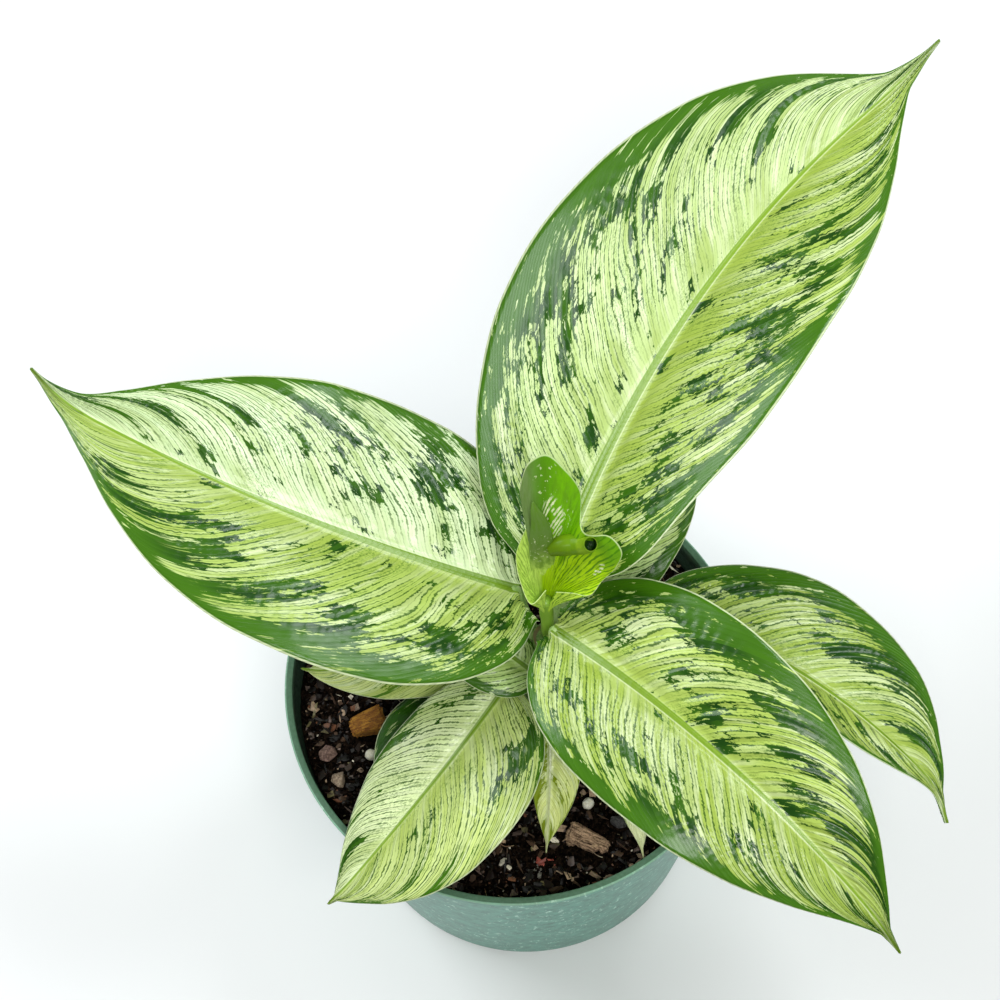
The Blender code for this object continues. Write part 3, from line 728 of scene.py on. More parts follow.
def thread_field(count, seed):
    """Root threads and fibres: thin bent tubes that rise out of the soil and dip back into it."""
    rng = np.random.default_rng(seed)
    points, faces = [], []
    edge = SOIL_EDGE - 3 * MM
    for _ in range(count):
        start = np.array(scattered(rng, edge, 0.1))
        way, turn = rng.uniform(0, 2 * math.pi), rng.uniform(-0.25, 0.25)
        span, thick = rng.uniform(4, 14) * MM, THREAD_RADIUS * rng.uniform(0.6, 1.3)
        line = []
        for step in range(THREAD_STEPS):
            rise = math.sin(math.pi * step / (THREAD_STEPS - 1)) * 1.3 - 0.2
            if np.hypot(*start) < edge:
                line.append((*start, soil_height(*start) + rise * MM))
            way += turn
            start = start + np.array((math.cos(way), math.sin(way))) * span / THREAD_STEPS
        if len(line) < 5:
            continue
        line = np.array(line)
        ahead = unit(np.gradient(line, axis=0))
        side = unit(np.cross(ahead, (0, 0, 1)))
        lift = np.cross(side, ahead)
        turns = np.arange(THREAD_SIDES)[None, :, None] * 2 * math.pi / THREAD_SIDES
        ring = side[:, None] * np.cos(turns) + lift[:, None] * np.sin(turns)
        faces += tube_faces(len(line), THREAD_SIDES, len(points))
        points += (line[:, None] + ring * thick).reshape(-1, 3).tolist()
    return mesh_of("threads", points, faces)


thread_finish, wires = new_material("root threads", Roughness=0.8)
tint = wires.ramp(wires.noise(wires.place(), 0.15, 1), 0.35, 0.65)
wires.finish(Base_Color=wires.mixed(tint, (0.20, 0.11, 0.06), (0.58, 0.50, 0.36)))
add_piece("root_threads", thread_field(THREADS, THREAD_SEED), thread_finish, slot="soil")


# Cane
# The short upright stem, green and fleshy. A ring marks each place where a leaf has clasped it,
# and dry brown shreds of old leaf bases are left on the lowest rings.
CANE_TIP = Vector((12, -3.6, 168)) * MM
CANE_FOOT_RADIUS = 6.6 * MM
CANE_TIP_RADIUS = 4.2 * MM
CANE_RINGS = 9
CANE_RING_TILT = 0.18
CANE_RING_HEIGHT = 0.4 * MM
CANE_GROOVE_DEPTH = 0.25 * MM
CANE_ROWS = 220
CANE_SIDES = 72

cane_way = CANE_TIP - CANE_FOOT
share = np.linspace(0, 1, CANE_ROWS)[:, None]
angle = np.arange(CANE_SIDES) * 2 * math.pi / CANE_SIDES
joint = ((1 - share) * CANE_RINGS + CANE_RING_TILT * np.sin(angle + 1.0)) % 1.0
radius = CANE_TIP_RADIUS + (CANE_FOOT_RADIUS - CANE_TIP_RADIUS) * (1 - share) ** 0.7
radius = radius + CANE_RING_HEIGHT * np.exp(-(((joint - 0.34) / 0.07) ** 2))
radius = radius - CANE_GROOVE_DEPTH * np.exp(-(((joint - 0.20) / 0.05) ** 2))
radius = radius * (1 - ease(0.97, 1.0, share) * 0.35)
height = np.broadcast_to(share * cane_way.length, radius.shape)
upright = np.stack([radius * np.cos(angle), radius * np.sin(angle), height], -1).reshape(-1, 3)
turn = np.array(cane_way.to_track_quat("Z", "Y").to_matrix())
points = upright @ turn.T + np.array(CANE_FOOT)
cane_mesh = mesh_of("cane", points, tube_faces(CANE_ROWS, CANE_SIDES))
store(cane_mesh, "joint", joint.ravel())


def stem_skin_group():
    """A fleshy green stem: light and dark streaks along it, with flecks on them."""
    inputs = {"Place": None, "Streak Stretch": None, "Fleck Stretch": None, "Fleck Roughness": 0.5,
              "Dark": (0.1, 0.2, 0.04), "Light": (0.2, 0.4, 0.08), "Fleck": (0.5, 0.6, 0.2)}
    wires, given, result = new_group("stem skin", inputs, {"Colour": "Color", "Streaks": "Float"})
    place = given["Place"]
    streaks = wires.noise(wires.scaled(place, given["Streak Stretch"]), 1.0, 3, 0.6)
    colour = wires.mixed(wires.ramp(streaks, 0.3, 0.7), given["Dark"], given["Light"])
    fleck_place = wires.scaled(place, given["Fleck Stretch"])
    flecks = wires.noise(fleck_place, 1.0, 2, given["Fleck Roughness"])
    colour = wires.mixed(wires.ramp(flecks, 0.60, 0.68, 0, 0.55), colour, given["Fleck"])
    wires.feed(result["Colour"], colour)
    wires.feed(result["Streaks"], streaks)
    return wires.tree


stem_skin = stem_skin_group()
cane_finish, wires = new_material("cane", Roughness=0.42, Coat_Weight=0.1, Coat_Roughness=0.3)
place = wires.place()
colour, streaks = wires.grouped(stem_skin, {
    "Place": place, "Streak Stretch": (0.9, 0.9, 0.14), "Fleck Stretch": (1.2, 1.2, 0.5),
    "Dark": (0.10, 0.22, 0.035), "Light": (0.22, 0.36, 0.08), "Fleck": (0.46, 0.56, 0.24),
})
from_scar = wires.math("ABSOLUTE", wires.attribute("joint", "Fac") - 0.24)
colour = wires.mixed(wires.ramp(from_scar, 0.05, 0.09, 1, 0) * 0.85, colour, (0.17, 0.105, 0.045))
dry = wires.ramp(wires.split(place)[2], 108, 128, 1, 0) * wires.ramp(streaks, 0.38, 0.55)
colour = wires.mixed(dry, colour, (0.22, 0.135, 0.06))
wires.finish(Base_Color=colour, Normal=wires.bump(streaks, 0.3, 0.0002))
add_piece("ringed_cane", cane_mesh, cane_finish, node="cane", slot="cane")


# Leaves
# Eleven oval leaves, each a thin glossy blade on a grooved stalk. The blade is pale green with
# dark green blotches that follow its side veins, a green border and a bright midrib.
BLADE_OUTLINE = (
    (0.00, 0.06), (0.03, 0.42), (0.08, 0.65), (0.16, 0.845), (0.28, 0.975), (0.38, 1.00),
    (0.52, 0.96), (0.68, 0.80), (0.82, 0.53), (0.92, 0.26), (1.00, 0.045),
)
SHOULDER_END = 0.2
BLADE_THICKNESS = 0.55 * MM
DRIP_START = 0.832
DRIP_WIDTH = 0.194
DRIP_CURVE = 1.3
DRIP_BLEND = 6
DRIP_TAPER = 0.75
MIDRIB_STEPS = 120
STALK_FOOT_RADIUS = 3.0 * MM
STALK_TOP_SHARE = 0.0135
STALK_STEPS = 34
STALK_SIDES = 22
RIB_END_RADIUS = 0.5 * MM
RIB_END = 0.9
WAVES_ALONG = 2.5
VEIN_LEAN = (0.45, 0.95)
VEIN_SWEEP = 0.42
PUCKER_PITCH = 6.5 * MM
PUCKER_RISE = 0.78 * MM
LEAVES = {
    "leaf_01": dict(base=(17, 4.9, 200), on_cane=154, length=210, halves=(55.5, 46.5), azimuth=53,
                    bend=-32, hook=13, pitch=(18, 3.5), bank=-13, twist=20, fold=19, curl=15,
                    crown=1.2, lobe=0.034, drip=0.087, wave=0.004, shoulders=(0.1, 0.45)),
    "leaf_02": dict(base=(3.3, 5.7, 183), on_cane=150, length=166, halves=(45.5, 46), azimuth=160,
                    bend=-21.5, hook=-18, pitch=(23, 10.5), bank=1, twist=-7, fold=16.5, curl=22,
                    crown=0.94, lobe=0.052, drip=0.094, wave=0.004),
    "leaf_03": dict(base=(13.6, -9.6, 185), on_cane=144, length=144.5, halves=(35, 33.5),
                    azimuth=-46.5, bend=-8, hook=-5.5, pitch=(11, -31), bank=13, twist=7.5,
                    fold=17.5, curl=20, crown=0.92, lobe=0.015, drip=0.055, wave=0.006),
    "leaf_04": dict(base=(44.5, 1.9, 168), on_cane=126, length=118, halves=(32, 19), azimuth=-35.5,
                    bend=-24, hook=-30, pitch=(13.5, -26.5), bank=-25, twist=3, fold=21, curl=8,
                    crown=1.2, lobe=0.033, drip=0.074, wave=0.005),
    "leaf_05": dict(base=(-3.7, -16.3, 156), on_cane=134, length=92, halves=(31, 20.3), azimuth=-136,
                    bend=-18, hook=-4.5, pitch=(-6, -40.5), bank=4.5, twist=3, fold=16, curl=23.5,
                    crown=1.0, lobe=0.031, drip=0.038, wave=0.006),
    "leaf_06": dict(base=(10.9, -15, 144), on_cane=124, length=51.5, halves=(10.6, 6.5), azimuth=-97,
                    bend=-5.5, hook=0, pitch=(-18, -34), bank=0, twist=0, fold=14, curl=30,
                    crown=1.0, lobe=0.02, drip=0.06, wave=0.0),
    "leaf_07": dict(base=(18, 9, 156), on_cane=140, length=75, halves=(22, 20), azimuth=44,
                    bend=5, hook=2, pitch=(27.5, 4), bank=0, twist=0, fold=14, curl=29,
                    crown=1.0, lobe=0.03, drip=0.055, wave=0.006),
    "leaf_08": dict(base=(-1.5, 0.3, 140), on_cane=122, length=71, halves=(13.3, 16), azimuth=176,
                    bend=-6, hook=-16, pitch=(3, -21), bank=5.5, twist=-4, fold=16, curl=24,
                    crown=1.1, lobe=0.03, drip=0.04, wave=0.006),
    "leaf_09": dict(base=(-0.3, -14.8, 138), on_cane=118, length=66, halves=(13, 32.5), azimuth=-133,
                    bend=-5, hook=-1, pitch=(4.5, -15), bank=3, twist=-5, fold=13, curl=33,
                    crown=1.1, lobe=0.027, drip=0.053, wave=0.006),
    "leaf_10": dict(base=(6, -13, 159), on_cane=138, length=62, halves=(16, 9), azimuth=138,
                    bend=-2, hook=0, pitch=(12, -8), bank=1, twist=1, fold=14, curl=29,
                    crown=0.84, lobe=0.055, drip=0.06, wave=0.006),
    "leaf_11": dict(base=(21, -13, 138), on_cane=118, length=58, halves=(11.3, 4.5), azimuth=-72.5,
                    bend=-6.5, hook=-6, pitch=(-12, -30), bank=0, twist=0, fold=14, curl=30,
                    crown=1.0, lobe=0.02, drip=0.057, wave=0.0),
}


def headings(leaf, u):
    """Directions of the midrib at shares u of its length."""
    first, last = leaf["pitch"]
    pitch = np.radians(first + (last - first) * u)
    turn = np.radians(leaf["azimuth"] + leaf["bend"] * (u - 0.3) + leaf["hook"] * ease(0.82, 1, u))
    return np.stack([np.cos(pitch) * np.cos(turn), np.cos(pitch) * np.sin(turn), np.sin(pitch)], -1)


def midrib_frames(leaf, u):
    """Places, directions, left sides and upper sides of the blade at shares u of its length."""
    middles = (np.arange(MIDRIB_STEPS) + 0.5) / MIDRIB_STEPS
    moves = headings(leaf, middles) * leaf["length"] * MM / MIDRIB_STEPS
    line = np.vstack([np.zeros(3), np.cumsum(moves, axis=0)]) + np.array(leaf["base"]) * MM
    knots = np.linspace(0, 1, MIDRIB_STEPS + 1)
    places = np.stack([np.interp(u, knots, line[:, axis]) for axis in range(3)], -1)
    along = headings(leaf, u)
    side = unit(np.cross((0.0, 0.0, 1.0), along))
    upper = np.cross(along, side)
    bank = np.radians(leaf["bank"] + leaf["twist"] * (u - 0.3))[:, None]
    left_side = side * np.cos(bank) + upper * np.sin(bank)
    upper_side = upper * np.cos(bank) - side * np.sin(bank)
    return places, along, left_side, upper_side


def outline_at(shares):
    """Half the outline as a smooth curve through its stations, with no bumps between them."""
    x, y = np.array(BLADE_OUTLINE).T
    gaps, steps = np.diff(x), np.diff(y) / np.diff(x)
    slopes = np.concatenate([[steps[0]], np.zeros(len(steps) - 1), [steps[-1]]])
    for index in range(len(steps) - 1):
        before, after = steps[index], steps[index + 1]
        near, far = 2 * gaps[index + 1] + gaps[index], gaps[index + 1] + 2 * gaps[index]
        if before * after > 0:
            slopes[index + 1] = (near + far) / (near / before + far / after)
    at = np.clip(np.searchsorted(x, shares, side="right") - 1, 0, len(steps) - 1)
    t = (shares - x[at]) / gaps[at]
    bow = (1 - t) * slopes[at] - t * slopes[at + 1] + (2 * t - 1) * steps[at]
    return y[at] + (y[at + 1] - y[at]) * t + t * (1 - t) * gaps[at] * bow


def half_widths(leaf, half, u):
    """Half widths of the left half, 0, or the right half, 1, at shares u of the length."""
    end = 1 - leaf["drip"]
    tail = np.maximum((u - end) / leaf["drip"], 0)
    body = outline_at(np.minimum(u / end, 1) ** leaf["crown"]) * (1 - DRIP_TAPER * tail)
    drip = DRIP_WIDTH * np.minimum((1 - u) / (1 - DRIP_START), 1) ** DRIP_CURVE
    share = (body**DRIP_BLEND + drip**DRIP_BLEND) ** (1 / DRIP_BLEND)
    shoulder = leaf.get("shoulders", (0, 0))[half] * (1 - np.minimum(u / SHOULDER_END, 1)) ** 2
    return leaf["halves"][half] * MM * share * (1 + shoulder)


def rib_radius(leaf, u):
    top = max(leaf["length"] * STALK_TOP_SHARE, 1.1) * MM
    return top + (RIB_END_RADIUS - top) * np.minimum(u / RIB_END, 1) ** 0.7


def blade_grid(leaf, rows, half_columns):
    """The blade's middle surface, its normals and, for each point, where it lies on the leaf."""
    even = np.linspace(0, 1, rows)
    u = even - 0.08 * np.sin(2 * math.pi * even)
    reach = np.linspace(0, 1, half_columns + 1) ** 1.25
    v = np.concatenate([-reach[::-1], reach[1:]])
    places, along, side, upper = midrib_frames(leaf, u)
    u = u[:, None]
    left, right_half = half_widths(leaf, 0, u), half_widths(leaf, 1, u)
    width = np.where(v >= 0, left, right_half)
    way = np.where(v >= 0, 1.0, -1.0)[None, :]
    e = np.abs(v)[None, :]
    fold, curl = math.radians(leaf["fold"]), math.radians(leaf["curl"])
    across = width * (math.sin(fold) - np.sin(fold - curl * e)) / curl
    lift = width * (np.cos(fold - curl * e) - math.cos(fold)) / curl
    length = leaf["length"] * MM
    phase = np.where(way > 0, 1.9, 0.3)
    ripple = np.sin(2 * math.pi * WAVES_ALONG * u + phase) * np.sin(math.pi * u)
    lift = lift + leaf["wave"] * length * e**2 * ripple
    back_shift = leaf["lobe"] * length * e**1.6 * (1 - u) ** 5
    points = places[:, None, :] + side[:, None, :] * (way * across)[..., None]
    points = points + upper[:, None, :] * lift[..., None] - along[:, None, :] * back_shift[..., None]
    normals = unit(np.cross(np.gradient(points, axis=0), np.gradient(points, axis=1)))
    widest = np.where(way > 0, *leaf["halves"]) * MM
    lean = VEIN_LEAN[0] + (VEIN_LEAN[1] - VEIN_LEAN[0]) * ease(0, 0.5, u)
    vein = u * length - widest * (lean * e + VEIN_SWEEP * e**4)
    facts = (u, e, width * e, way, vein, rib_radius(leaf, u))
    return points, normals, np.broadcast_arrays(*facts)


def shell_mesh(name, upper, lower, mirrored=False):
    """A closed shell between two grids of points; mirrored where its rows run the other way round."""
    rows, columns = upper.shape[:2]
    count = rows * columns
    faces = grid_faces(rows, columns)
    index = np.arange(count).reshape(rows, columns)
    loop = np.concatenate([index[0], index[1:, -1], index[-1, -2::-1], index[-2:0:-1, 0]])
    after = np.roll(loop, -1)
    margin = np.stack([loop + count, after + count, after, loop], -1)
    faces = np.concatenate([faces, faces[:, ::-1] + count, margin])
    points = np.concatenate([upper.reshape(-1, 3), lower.reshape(-1, 3)])
    return mesh_of(name, points, faces[:, ::-1] if mirrored else faces)


def blade_mesh(name, leaf, rows, half_columns, seed):
    """The blade as a thin closed shell, puckered between its side veins and thicker at the rib."""
    points, normals, facts = blade_grid(leaf, rows, half_columns)
    u, e, off, way, vein, rib = facts
    wander = [noise.noise(Vector((along * 40, o * 30 * w, seed)))
              for along, o, w in zip(vein.flat, off.flat, way.flat)]
    pitch = PUCKER_PITCH * leaf["length"] / 210 + 1.5 * MM
    phase = vein / pitch + 0.6 * np.array(wander).reshape(vein.shape)
    pucker = (np.abs(np.sin(math.pi * phase)) ** 0.8 - 0.5) * PUCKER_RISE * 2
    pucker = pucker * ease(0.03, 0.3, e) * (1 - ease(0.60, 0.94, e)) * min(leaf["length"] / 125, 1)
    crest = 0.30 * rib * np.exp(-((off / (0.85 * rib)) ** 2))
    gutter = 0.35 * rib * np.exp(-(((off - 1.9 * rib) / (0.9 * rib)) ** 2))
    half = BLADE_THICKNESS / 2 * (1 - 0.45 * e**6)
    keel = 1.15 * rib * np.exp(-((off / (0.8 * rib)) ** 2)) * (1 - ease(0.95, 1.0, u))
    top = points + normals * (half + pucker + crest - gutter)[..., None]
    under = points - normals * (half + keel - 0.8 * pucker + 0.4 * gutter)[..., None]
    mesh = shell_mesh(name, top, under)
    on_blade = np.stack([vein / MM, way * off / MM, e], -1).reshape(-1, 3)
    on_rib = np.stack([u * leaf["length"], off / MM, rib / MM], -1).reshape(-1, 3)
    store(mesh, "leaf_place", np.concatenate([on_blade, on_blade]))
    store(mesh, "leaf_rib", np.concatenate([on_rib, on_rib]))
    store(mesh, "upper_side", np.repeat([1.0, 0.0], rows * points.shape[1]))
    return mesh


def stalk_line(leaf):
    """Points, radii and upper sides down the leaf stalk, from inside the cane to under the blade."""
    height_share = (leaf["on_cane"] * MM - CANE_FOOT.z) / (CANE_TIP.z - CANE_FOOT.z)
    start = CANE_FOOT.lerp(CANE_TIP, height_share)
    places, along, _, upper = midrib_frames(leaf, np.array([0.0, 0.06]))
    end, direction, lean = Vector(places[0]), Vector(along[0]), Vector(upper[0])
    outward = Vector((end.x - start.x, end.y - start.y, 0)).normalized()
    rise = Vector((0, 0, 1))
    reach = 0.36 * (end - start).length
    first = start + (outward + rise) * 0.7 * reach
    second = end - (direction * 0.15 + rise * 0.9) * reach
    top = rib_radius(leaf, 0.0)
    foot = max(top, STALK_FOOT_RADIUS * (0.55 + 0.45 * leaf["length"] / 160))
    line = []
    for t in np.linspace(0, 1, STALK_STEPS):
        s = 1 - t
        place = start * s**3 + first * 3 * t * s**2 + second * 3 * t * t * s + end * t**3
        radius = foot + (top - foot) * t
        line.append((place - lean * radius * 0.35 * t, radius))
    tail, lower = Vector(places[1]), Vector(upper[1])
    for t in (0.35, 0.7, 1.0):
        below = lower * (0.35 * top + 0.45 * top * t)
        line.append((end.lerp(tail, t) - below, top * (1 - 0.55 * t)))
    return line, lean


def with_stalk(mesh, line, lean, groove):
    """Adds a grooved stalk along (place, radius) pairs to a blade's mesh, as its second finish."""
    places = [place for place, _ in line]
    rings = []
    facing = lean
    for index in reversed(range(len(line))):
        ahead = places[min(index + 1, len(places) - 1)] - places[max(index - 1, 0)]
        ahead.normalize()
        facing = (facing - ahead * facing.dot(ahead)).normalized()
        side = ahead.cross(facing)
        depth = groove * (1 - ease(0.75, 0.95, index / (len(line) - 1)))
        ring = []
        for step in range(STALK_SIDES):
            angle = 2 * math.pi * step / STALK_SIDES
            away = min(angle, 2 * math.pi - angle)
            reach = line[index][1] * (1 - depth * math.exp(-((away / 0.55) ** 2)))
            ring.append(places[index] + (facing * math.cos(angle) + side * math.sin(angle)) * reach)
        rings = ring + rings
    bm = bmesh.new()
    bm.from_mesh(mesh)
    made = [bm.verts.new(place) for place in rings]
    for face in tube_faces(len(line), STALK_SIDES, inward=True):
        skin = bm.faces.new([made[corner] for corner in face])
        skin.smooth = True
        skin.material_index = 1
    bm.to_mesh(mesh)
    bm.free()
    return mesh


def variegation_group():
    """The blade's painting: pale ground, dark blotches along the veins, border, rib and fine lines."""
    inputs = {
        "Place": None, "Rib Place": None, "Seed": 0.0,
        "Spacing": 3.0, "Darkness": 0.0, "Border": 0.1, "Line": 1.0, "Wash": 0.3,
        "Pale": (0.50, 0.66, 0.20), "Edge": (0.66, 0.74, 0.44), "Olive": (0.27, 0.37, 0.045),
        "Fresh": (0.048, 0.150, 0.003), "Deep": (0.008, 0.048, 0.001), "Rib": (0.175, 0.305, 0.014),
    }
    outputs = {"Colour": "Color", "Dark": "Float", "Height": "Float"}
    w, given, result = new_group("variegation", inputs, outputs)
    seed, pale, edge_tone, olive = (given[name] for name in ("Seed", "Pale", "Edge", "Olive"))
    fresh, deep = given["Fresh"], given["Deep"]
    vein, off, edge = w.split(given["Place"])
    length, reach, rib = w.split(given["Rib Place"])
    flat = w.joined(vein, off, seed * 7.3)

    def noise_at(x, y, detail=1.0, roughness=0.5):
        return w.noise(w.joined(x, y, seed), 1.0, detail, roughness)

    # side veins: a strip between each two of them, and the place f within the strip
    sway = (w.noise(flat, 0.06, 1) - 0.5) * 8.0
    shiver = (w.noise(flat, 0.55, 2) - 0.5) * 0.9
    q = (vein + (sway + shiver)) / given["Spacing"]
    strip, f = w.math("FLOOR", q), w.math("FRACT", q)
    near = w.least(f, 1.0 - f)
    side = w.math("SIGN", off)
    strip_place = {"Vector": w.joined(strip, side, seed)}
    draw = w.put("TexWhiteNoise", strip_place, "Value", noise_dimensions="3D")

    # blotches: every strip turns dark or pale by itself, but neighbours often do so together
    together = noise_at(strip * 0.21, off * 0.085)
    alone = noise_at(strip * 4.7, off * 0.25, 2)
    ragged = w.noise(flat, 1.15, 3, 0.65)
    field = together + (alone - 0.5) * w.ramp(edge, 0.55, 0.9, 0.66, 0.3)
    field = field + (ragged - 0.5) * 0.38 + (draw - 0.5) * 0.06 - w.ramp(near, 0.0, 0.5) * 0.05
    level = 0.68 - w.ramp(edge, 0.10, 0.78) * 0.165 - given["Darkness"]
    blotch = w.ramp(field - level, -0.012, 0.012)
    band = w.ramp(edge + (field - 0.5) * 0.42 - (1.0 - given["Border"]), -0.012, 0.012)
    island = noise_at(vein * 0.72, off * 0.24, 3, 0.62)
    island = w.ramp(island, 0.605, 0.62, 0, w.ramp(edge, 0.66, 0.82, 1, 0))
    outer = noise_at(vein * 0.24, off * 0.34, 3, 0.62)
    outer = w.ramp(outer, 0.62, 0.635, 0, w.ramp(edge, 0.66, 0.82))
    dark = w.most(blotch, band) * (1.0 - w.most(island, outer))

    # fine dark lines on the veins, broken into dashes and beads, and fainter ones between them
    dash = noise_at(w.math("ROUND", q) * 3.7, off * 0.16, 3, 0.65)
    beads = noise_at(q * 0.8, off * 1.3, 2, 0.6)
    width = w.ramp(dash, 0.32, 0.62, 0.25, 1.0) * w.ramp(beads, 0.30, 0.72, 0.03, 0.22)
    line = w.ramp(width * given["Line"] - near, -0.05, 0.03)
    dash = noise_at(strip * 5.3, off * 0.22, 3, 0.65)
    width = w.ramp(dash, 0.46, 0.62) * w.ramp(beads, 0.30, 0.72, 0.0, 0.14)
    finer = w.ramp(width * given["Line"] - (0.5 - near), -0.05, 0.03)
    line = w.most(line, finer * 0.75) * w.ramp(edge, 0.05, 0.30, 0.25, 1.0)

    # ground: whiter and more olive clouds, green halftone flecks, a wash beside the midrib
    cloud = noise_at(q * 0.20, off * 0.05, 2)
    ground = w.mixed(w.ramp(cloud, 0.36, 0.66, 0, 0.55), pale, olive)
    fold = noise_at(vein * 0.30, off * 0.045, 2)
    ground = w.mixed(w.ramp(fold, 0.50, 0.66, 0, 0.60), ground, edge_tone)
    ground = w.mixed(w.ramp(draw, 0.4, 1.0) * 0.30, ground, edge_tone)
    # the olive wash beside the midrib is set per half, partly as painted shade
    ground = w.mixed(w.ramp(edge, 0.05, 0.55, 1, 0) * given["Wash"], ground, olive)
    specks = w.ramp(w.noise(flat, 1.9, 2, 0.7), 0.50, 0.62)
    zone = w.ramp(w.noise(flat, 0.10, 2), 0.46, 0.66)
    ground = w.mixed(specks * (zone * 0.60), ground, fresh)
    ground = w.mixed(line * 0.85, ground, w.mixed(0.35, deep, fresh))
    shade = noise_at(strip * 0.6, off * 0.10, 2)
    paint = w.mixed(w.ramp(shade, 0.40, 0.62, 0, 0.6), deep, fresh)
    paint = w.mixed(w.ramp(edge, 0.72, 0.92, 0, 0.8), paint, fresh)
    colour = w.mixed(dark, ground, paint)

    # midrib, deeper near the stalk, with a thin pale line at its side, and the blade's pale edge
    inside = rib * 0.80 - reach
    brim = w.ramp(inside, -0.55, -0.25) * (1.0 - w.ramp(inside, -0.15, 0.10))
    colour = w.mixed(brim * w.ramp(side, -0.5, 0.5, 0.50, 0.15), colour, edge_tone)
    streak = noise_at(length * 0.02, off * 1.6, 2)
    rib_colour = w.mixed(w.ramp(length, 5, 95, 0.55, 0), given["Rib"], (0.08, 0.17, 0.001))
    rib_colour = w.mixed(w.ramp(streak, 0.35, 0.65, 0, 0.18), rib_colour, pale)
    colour = w.mixed(w.ramp(inside, -0.20, 0.15), colour, rib_colour)
    colour = w.mixed(w.ramp(edge, 0.984, 0.991, 0, 0.85), colour, edge_tone)
    w.feed(result["Colour"], colour)
    w.feed(result["Dark"], dark)
    bulge = 1.0 - w.math("POWER", w.math("ABSOLUTE", f * 2.0 - 1.0), 3.0)
    w.feed(result["Height"], bulge + ragged * 0.5)
    return w.tree


variegation = variegation_group()
UNDER_TONE = (0.24, 0.40, 0.14)


def leaf_finish(name, painting):
    """The blade's finish: the painting on its upper side, and a duller, paler copy underneath."""
    made, wires = new_material(name, Specular_IOR_Level=0.12, Coat_Weight=0.30, Coat_Roughness=0.18)
    place = wires.attribute("leaf_place")
    on_left = wires.math("GREATER_THAN", wires.split(place)[1], 0.0)
    given = {"Place": place, "Rib Place": wires.attribute("leaf_rib"), **painting}
    # a pair is split by side: the halves' Pale and Wash differ as painted sheen and painted shade
    for key, value in painting.items():
        if isinstance(value, tuple) and len(value) == 2:
            left, right = value
            if isinstance(left, tuple):
                given[key] = wires.mixed(on_left, right, left)
            else:
                given[key] = wires.ramp(on_left, 0, 1, right, left)
    colour, dark, height = wires.grouped(variegation, given)
    upper_side = wires.attribute("upper_side", "Fac")
    both = wires.mixed(upper_side, wires.mixed(0.62, colour, UNDER_TONE), colour)
    gloss = wires.ramp(upper_side, 0.2, 0.8, 0.55, 0.30) + dark * -0.04
    wires.finish(Base_Color=both, Roughness=gloss, Normal=wires.bump(height, 0.35, 0.00025))
    return made


stalk_finish, wires = new_material("leaf stalk", Roughness=0.38, Coat_Weight=0.15, Coat_Roughness=0.3)
colour, streaks = wires.grouped(stem_skin, {
    "Place": wires.place(), "Streak Stretch": (0.5, 0.5, 0.12), "Fleck Stretch": (0.9, 0.9, 0.35),
    "Fleck Roughness": 0.6, "Dark": (0.30, 0.48, 0.12), "Light": (0.46, 0.62, 0.24),
    "Fleck": (0.10, 0.24, 0.04),
})
wires.finish(Base_Color=colour, Normal=wires.bump(streaks, 0.2, 0.0002))

# Each leaf's own painting: vein spacing in mm, share of dark, width of the border, and colours.
# # A pair gives the left half and the right half, seen from the stalk. Where a pair's Pale or Wash
# # differs, one half is painted lighter as painted sheen and the other darker as painted shade, and
# # leaf_06's Pale is raised as painted light against the shade it lies in.
PAINTING = {
    "leaf_01": dict(Spacing=2.2, Darkness=(0.03, 0.045), Border=(0.20, 0.13), Wash=(0.15, 0.75),
                    Pale=((0.53, 0.67, 0.28), (0.38, 0.51, 0.10))),
    "leaf_02": dict(Spacing=2.4, Darkness=(0.06, 0.03), Border=(0.13, 0.13), Wash=(0.5, 0.0),
                    Pale=((0.39, 0.52, 0.12), (0.64, 0.78, 0.46))),
    "leaf_03": dict(Spacing=2.7, Darkness=(0.075, 0.01), Border=(0.25, 0.18), Wash=0.35,
                    Pale=((0.42, 0.55, 0.12), (0.34, 0.46, 0.08))),
    "leaf_04": dict(Spacing=2.5, Darkness=(0.07, 0.02), Border=(0.22, 0.12), Wash=0.3,
                    Pale=(0.33, 0.44, 0.08)),
    "leaf_05": dict(Spacing=2.4, Darkness=(-0.03, -0.06), Border=(0.06, 0.04), Wash=(0.4, 0.0),
                    Pale=((0.58, 0.70, 0.22), (0.76, 0.88, 0.46))),
    "leaf_06": dict(Spacing=2.0, Darkness=0.10, Border=0.12, Wash=0.0, Line=0.3,
                    Pale=(0.84, 0.92, 0.33), Deep=(0.22, 0.30, 0.01), Fresh=(0.28, 0.38, 0.03),
                    Rib=(0.86, 0.88, 0.52)),
    "leaf_07": dict(Spacing=2.2, Darkness=-0.05, Border=0.22, Wash=0.3, Pale=(0.56, 0.72, 0.28)),
    "leaf_08": dict(Spacing=2.2, Darkness=-0.10, Border=0.0, Wash=0.2, Line=0.5,
                    Pale=(0.62, 0.70, 0.24), Deep=(0.10, 0.20, 0.01)),
    "leaf_09": dict(Spacing=2.2, Darkness=0.20, Border=0.55, Wash=0.3, Pale=(0.30, 0.46, 0.10),
                    Fresh=(0.030, 0.110, 0.005)),
    "leaf_10": dict(Spacing=2.1, Darkness=-0.06, Border=0.2, Wash=0.2, Pale=(0.50, 0.68, 0.24)),
    "leaf_11": dict(Spacing=2.0, Darkness=-0.12, Border=0.0, Wash=0.0, Line=0.2,
                    Pale=(0.86, 0.88, 0.52), Rib=(0.84, 0.86, 0.50)),
}
for number, (name, leaf) in enumerate(LEAVES.items()):
    rows, half_columns = (230, 28) if leaf["length"] > 100 else (130, 18)
    mesh = blade_mesh(name, leaf, rows, half_columns, number)
    with_stalk(mesh, *stalk_line(leaf), groove=0.35)
    finish = leaf_finish(f"spotted {name}", {"Seed": number + 1.0, **PAINTING[name]})
    add_piece(f"spotted_{name}", mesh, finish, stalk_finish, node=name, slot="spotted_leaf")


